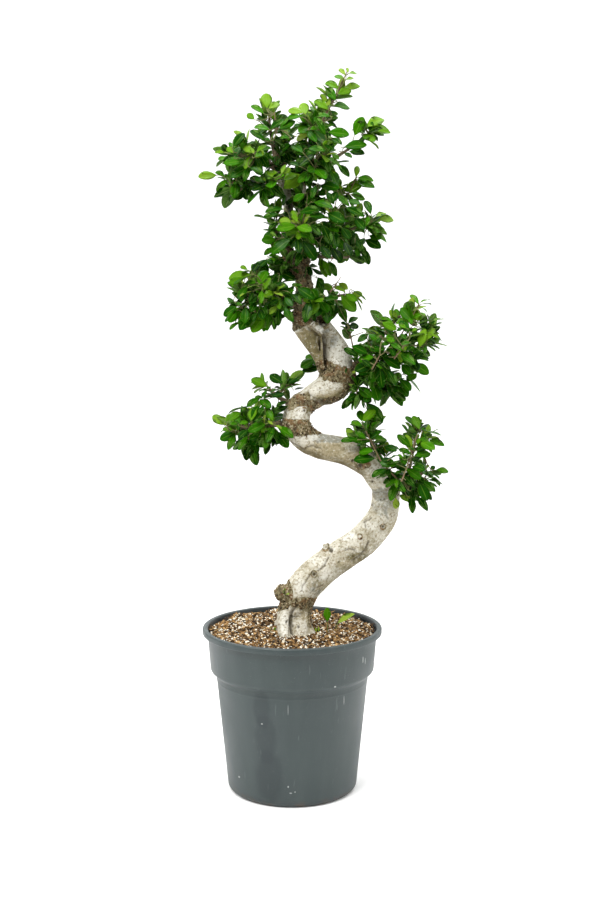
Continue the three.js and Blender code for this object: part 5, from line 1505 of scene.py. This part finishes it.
def fillShoots(pad, shoots, start):  # short shoots to evenly spread places in the outer part of each lobe
    f = shootFacts
    dice = random.Random(start + seed)
    lobes = pads[pad]["lobes"]
    stems = boughPoints(pad)
    stems += [point for path in upperStem for point, _ in smoothPath(path, 12)]
    stems += [bent(shoot, share) for shoot in shoots for share in (0.25, 0.5, 0.75)]
    taken = [shoot["reach"] for shoot in shoots]
    half = 0.5 * leafFacts["length"]
    own = [base + heading * (half * size) for base, heading, _, size, _ in padLeaves(pad)]
    made = []
    for lobe in lobes:
        others = [other for other in lobes if other is not lobe]
        for _ in range(f["tries"]):
            way = Vector([dice.gauss(0, 1) for _ in range(3)]).normalized() * (0.3 + 0.6 * dice.random())
            spot = Vector([lobe[k] + lobe[k + 3] * way[k] for k in range(3)])
            if any(inLobe(spot, other).length < f["inside"] for other in others):
                continue
            if min((spot - other).length for other in taken) < f["spacing"]:
                continue
            if min((spot - other).length for other in own) < f["besideOwn"]:
                continue
            far = [stem for stem in stems if (spot - stem).length > f["nearest"]]
            foot = min(far, key=lambda stem: (spot - f["rise"] * up - stem).length)
            if (spot - foot).length > f["longestTwig"]:
                continue
            taken.append(spot)
            size = f["fillSize"] + f["fillSpread"] * dice.random()
            made.append(shootTo(foot, spot, size, f["fillThickness"], f["fillShortest"]))
            stems.append(bent(made[-1], 0.6))
    return made


# What each point of a line says about its leaf
leafMarks = ["fromTip", "turn", "tone", "leafSize", "outward", "hang", "own"]


def inClearing(spot):
    return any(math.hypot((spot.x - x) / wide, (spot.z - z) / high) < 1 for x, z, wide, high in clearings)


def leafLines(shoots, lobes, start):
    f = shootFacts
    lines = []
    facts = {name: [] for name in leafMarks}
    fresh = [Vector(reach) for reach in freshReaches]
    for i, shoot in enumerate(shoots):
        number = start + i
        bright = any((shoot["reach"] - reach).length < 1 for reach in fresh)
        lobe = min(lobes, key=lambda lobe: inLobe(shoot["reach"], lobe).length)
        place = inLobe(shoot["reach"], lobe)
        outer = min(place.length, 1.2)
        bright = bright or place.z > f["freshAbove"] and draw(number + 0.2) < f["freshShare"]
        # Besides fresh growth being bright, leaves low in a lobe and near its middle are coloured darker:
        # partly older leaves, partly painted shade inside the pad
        tipTone = 0.92 if bright else 0.14 + 0.36 * outer * outer * (0.4 + draw(number)) + 0.2 * place.z
        baseTone = 0.34 if bright else 0.05 + 0.2 * outer * draw(number + 0.4)
        outward = Vector([place[k] / lobe[k + 3] for k in range(3)]).normalized()
        hang = min(max(0.65 - 0.65 * place.z, 0.1), 1.3)
        size = shoot["size"]
        gaps = [gap * size for gap in f["gaps"] if gap * size < shoot["length"] * f["leafyShare"]]
        line = []
        for gap in reversed(gaps):
            spot = bent(shoot, 1 - gap / shoot["length"])
            line.append(spot * mm)
            nearTip = max(0.0, 1 - gap / f["tipReach"])
            facts["fromTip"].append(gap * mm)
            facts["turn"].append(6.28 * draw(number + 0.7))
            facts["tone"].append(baseTone + (tipTone - baseTone) * nearTip)
            facts["outward"].append(outward)
            facts["hang"].append(hang)
            facts["own"].append(0.0)
            grown = f["leafScale"] * size * (0.62 + 0.38 * min(gap / 9, 1))
            grown *= 0.86 + 0.2 * draw(number + gap)
            facts["leafSize"].append(0.0 if inClearing(spot) else grown)
        lines.append(line)
    return lines, facts


def twigLines(shoots):
    lines = []
    facts = {"thickness": [], "young": []}
    steps = shootFacts["steps"]
    for shoot in shoots:
        line = []
        for k in range(steps + 1):
            share = k / steps
            line.append(bent(shoot, share) * mm)
            facts["thickness"].append(shoot["thickness"] * (1 - 0.5 * share) * mm)
            facts["young"].append(share if shoot["length"] else shoot["young"])
        lines.append(line)
    return lines, facts


def singleLeaves(leaves):  # a line for each leaf, which stands on its second point
    lines = []
    facts = {name: [] for name in leafMarks}
    for base, heading, face, size, tone in leaves:
        lines.append([(base - heading * 3) * mm, base * mm])
        facts["leafSize"] += [0.0, size]
        facts["tone"] += [tone, tone]
        facts["outward"] += [face, face]
        facts["own"] += [1.0, 1.0]
        for name in ("fromTip", "turn", "hang"):
            facts[name] += [0.0, 0.0]
    return lines, facts


def sproutLeaves(name):
    made = []
    for i, (foot, end, face, size, tone) in enumerate(sprouts[name]):
        heading = Vector(sproutHeadings[name].get(i, Vector(end) - Vector(foot))).normalized()
        made.append((Vector(end), heading, Vector(face).normalized(), size, tone))
    return made


def readLeaf(crop, dice, columnA, rowA, columnB, rowB, tone, edgeOn=0, ownDepth=None):
    f = ownFacts
    left, top = crop["corner"]
    base = (left + columnA / crop["zoom"], top + rowA / crop["zoom"])
    tip = (left + columnB / crop["zoom"], top + rowB / crop["zoom"])
    y = 0.0
    for column, row, wide, high, depth in crop["domes"]:
        away = ((0.5 * (base[0] + tip[0]) - column) / wide) ** 2
        away += ((0.5 * (base[1] + tip[1]) - row) / high) ** 2
        if away < 1:
            y = min(y, -depth * math.sqrt(1 - away))
    y = y or dice.uniform(*f["besideDomes"])
    y = round(y if ownDepth is None else ownDepth)
    foot = seenAt(*base, y)
    span = seenAt(*tip, y) - foot
    low, high = f["sizes"]
    size = min(max(math.hypot(span.x, span.z) / f["fullLength"], low), high)
    angle = round(math.degrees(math.atan2(span.z, span.x)))
    return whole(foot), angle, round(100 * size), tone, edgeOn


def readLeaves(pad):  # for each leaf its base, heading in degrees, size %, tone % and whether it is edge-on
    made = []
    for crop in crops:
        dice = random.Random(crop["seed"])
        made += [readLeaf(crop, dice, *leaf) for leaf in crop["leaves"] if crop["pad"] == pad]
    return made


def padLeaves(pad):  # a leaf that shows shorter than its sort leans, with its face up
    f = ownFacts
    made = []
    for i, (base, angle, shown, tone, edgeOn) in enumerate(readLeaves(pad)):
        way = math.radians(angle)
        shown *= 0.01
        full = 1.15 * shown if tone > f["youngTone"] else f["smallest"] + f["spread"] * draw(930 + i)
        size = min(max(full, shown), f["mostLean"] * shown)
        lean = math.acos(shown / size)
        if math.sin(way) < 0.3 * (draw(960 + i) - 0.5):
            lean = -lean
        heading = Vector((math.cos(way) * math.cos(lean), math.sin(lean), math.sin(way) * math.cos(lean)))
        stray = 0.5 * (draw(950 + i) - 0.5)
        face = Vector((stray, 0.05, 1)) if edgeOn else Vector((stray, -1.25, 0.1))
        made.append((base, heading, face, size, max(f["toneShare"] * tone - f["toneDrop"], 0)))
    return made


def bareTwig(foot, middle, end, thickness, young=0.0):  # a length of 0 keeps leaves off it
    bend = (foot, middle, end)
    return {"bend": bend, "length": 0, "reach": foot, "size": 1, "thickness": thickness, "young": young}


def plainTwigs(pad):
    made = []
    for foot, end, thickness in ownTwigs[pad]:
        foot, end = whole(seenAt(*foot)), whole(seenAt(*end))
        made.append(bareTwig(foot, foot.lerp(end, 0.5) - up, end, thickness, 0.3))
    return made


def leafStalks(pad, shoots):  # a thin twig from the nearest wood to each leaf that shows one by one
    f = shootFacts
    stems = boughPoints(pad)
    stems += [bent(shoot, share) for shoot in shoots for share in (0.3, 0.6, 0.9)]
    made = []
    for base, heading, *_ in padLeaves(pad):
        far = [stem for stem in stems if (base - stem).length > f["stalkStart"]]
        foot = min(far, key=lambda stem: (base - stem).length)
        middle = base - heading * (0.4 * (base - foot).length)
        made.append(bareTwig(foot, middle, base, f["stalkThickness"], 0.8))
    return made


def stalkLines(leaves):
    lines = [[Vector(foot) * mm, Vector(end) * mm] for foot, end, _, _, _ in leaves]
    return lines, {"thickness": [0.7 * mm] * (2 * len(lines)), "young": [1.0] * (2 * len(lines))}


def prunedTwigs():  # a head of short bare twigs inside the crown, left from old cuts
    f = bareTwigs
    made = []
    for i in range(f["number"]):
        way = Vector((2.4 * (draw(500 + i) - 0.5), 1.6 * (draw(520 + i) - 0.75), 0.5 + draw(540 + i)))
        way = way.normalized()
        length = f["length"][0] + (f["length"][1] - f["length"][0]) * draw(560 + i)
        foot = Vector(f["foot"]) + Vector((8 * (draw(580 + i) - 0.5), 0, 8 * (draw(600 + i) - 0.5)))
        made.append(bareTwig(foot, foot + way * length * 0.6, foot + way * length + up * 3, f["thickness"]))
    return made


def makeFoliage(trunk, limbs):
    f = leafFacts
    leaf = leafMaterial()
    sorts = [link(f"leaf_{i}", leafMesh(f"leaf_{i}", *sort)) for i, sort in enumerate(f["sorts"])]
    shootTree = leafyShootTree(leaf)
    stemTree = tubeTree("twigs", twigMaterial())
    common = {
        "Leaf A": sorts[0], "Leaf B": sorts[1], "Leaf C": sorts[2], "Leaf D": sorts[3], "Trunk": trunk,
        "Boughs": limbs, "Trunk Clearance": f["clearance"] * mm, "Bough Clearance": f["boughClearance"] * mm,
        "Leaf Length": f["length"] * mm, "Tip Tilt": math.radians(f["tipTilt"]),
        "Base Tilt": math.radians(f["baseTilt"]), "Hang": f["hang"], "Spread": f["spread"]}
    groups = []
    for number, (pad, facts) in enumerate(pads.items()):
        names = facts["boughs"]
        shoots = [shoot for name in names for shoot in mainShoots(name)]
        shoots += plainTwigs(pad)
        shoots += fillShoots(pad, shoots, number)
        shoots += leafStalks(pad, shoots)
        if pad == "crown":
            shoots += prunedTwigs()
        nodes = [f"{name}_spray_{i + 1}" for name in names for i in range(len(boughs[name]["sprays"]))]
        groups.append((pad, shoots, facts["lobes"], nodes))
    for name, leaves in sprouts.items():
        nodes = ["soil_shoot_upright", "soil_shoot_arched"] if name == "soil_shoot" else []
        groups.append((name, leaves, None, nodes))
    for number, (pad, shoots, lobes, nodes) in enumerate(groups):
        lines, facts = leafLines(shoots, lobes, 300 * number) if lobes else ([], {})
        singles, singleFacts = singleLeaves(padLeaves(pad) if lobes else sproutLeaves(pad))
        lines += singles
        facts = {key: facts.get(key, []) + values for key, values in singleFacts.items()}
        host = polylines(f"{pad}_shoots", lines, facts)
        settings = common | {"Faces Sky": f["facesSky"], "Seed": number * 10 + 1}
        if not lobes:  # sprouts stand close to the wood and face as they are told
            settings |= {"Trunk Clearance": -1.0, "Bough Clearance": -1.0, "Faces Sky": 0.0}
        runTree(host, shootTree, settings)
        place(plainPiece(host, f"{pad}_leaves"), "foliage", nodes)
        lines, facts = twigLines(shoots) if lobes else stalkLines(shoots)
        stems = polylines(f"{pad}_stems", lines, facts)
        runTree(stems, stemTree, {"Sides": f["twigSides"]})
        place(plainPiece(stems, f"{pad}_twigs"), "bark")
    for sort in sorts:
        bpy.data.objects.remove(sort)


makeStage()
makePot()
makeSoil()
makeFoliage(*makeWood())
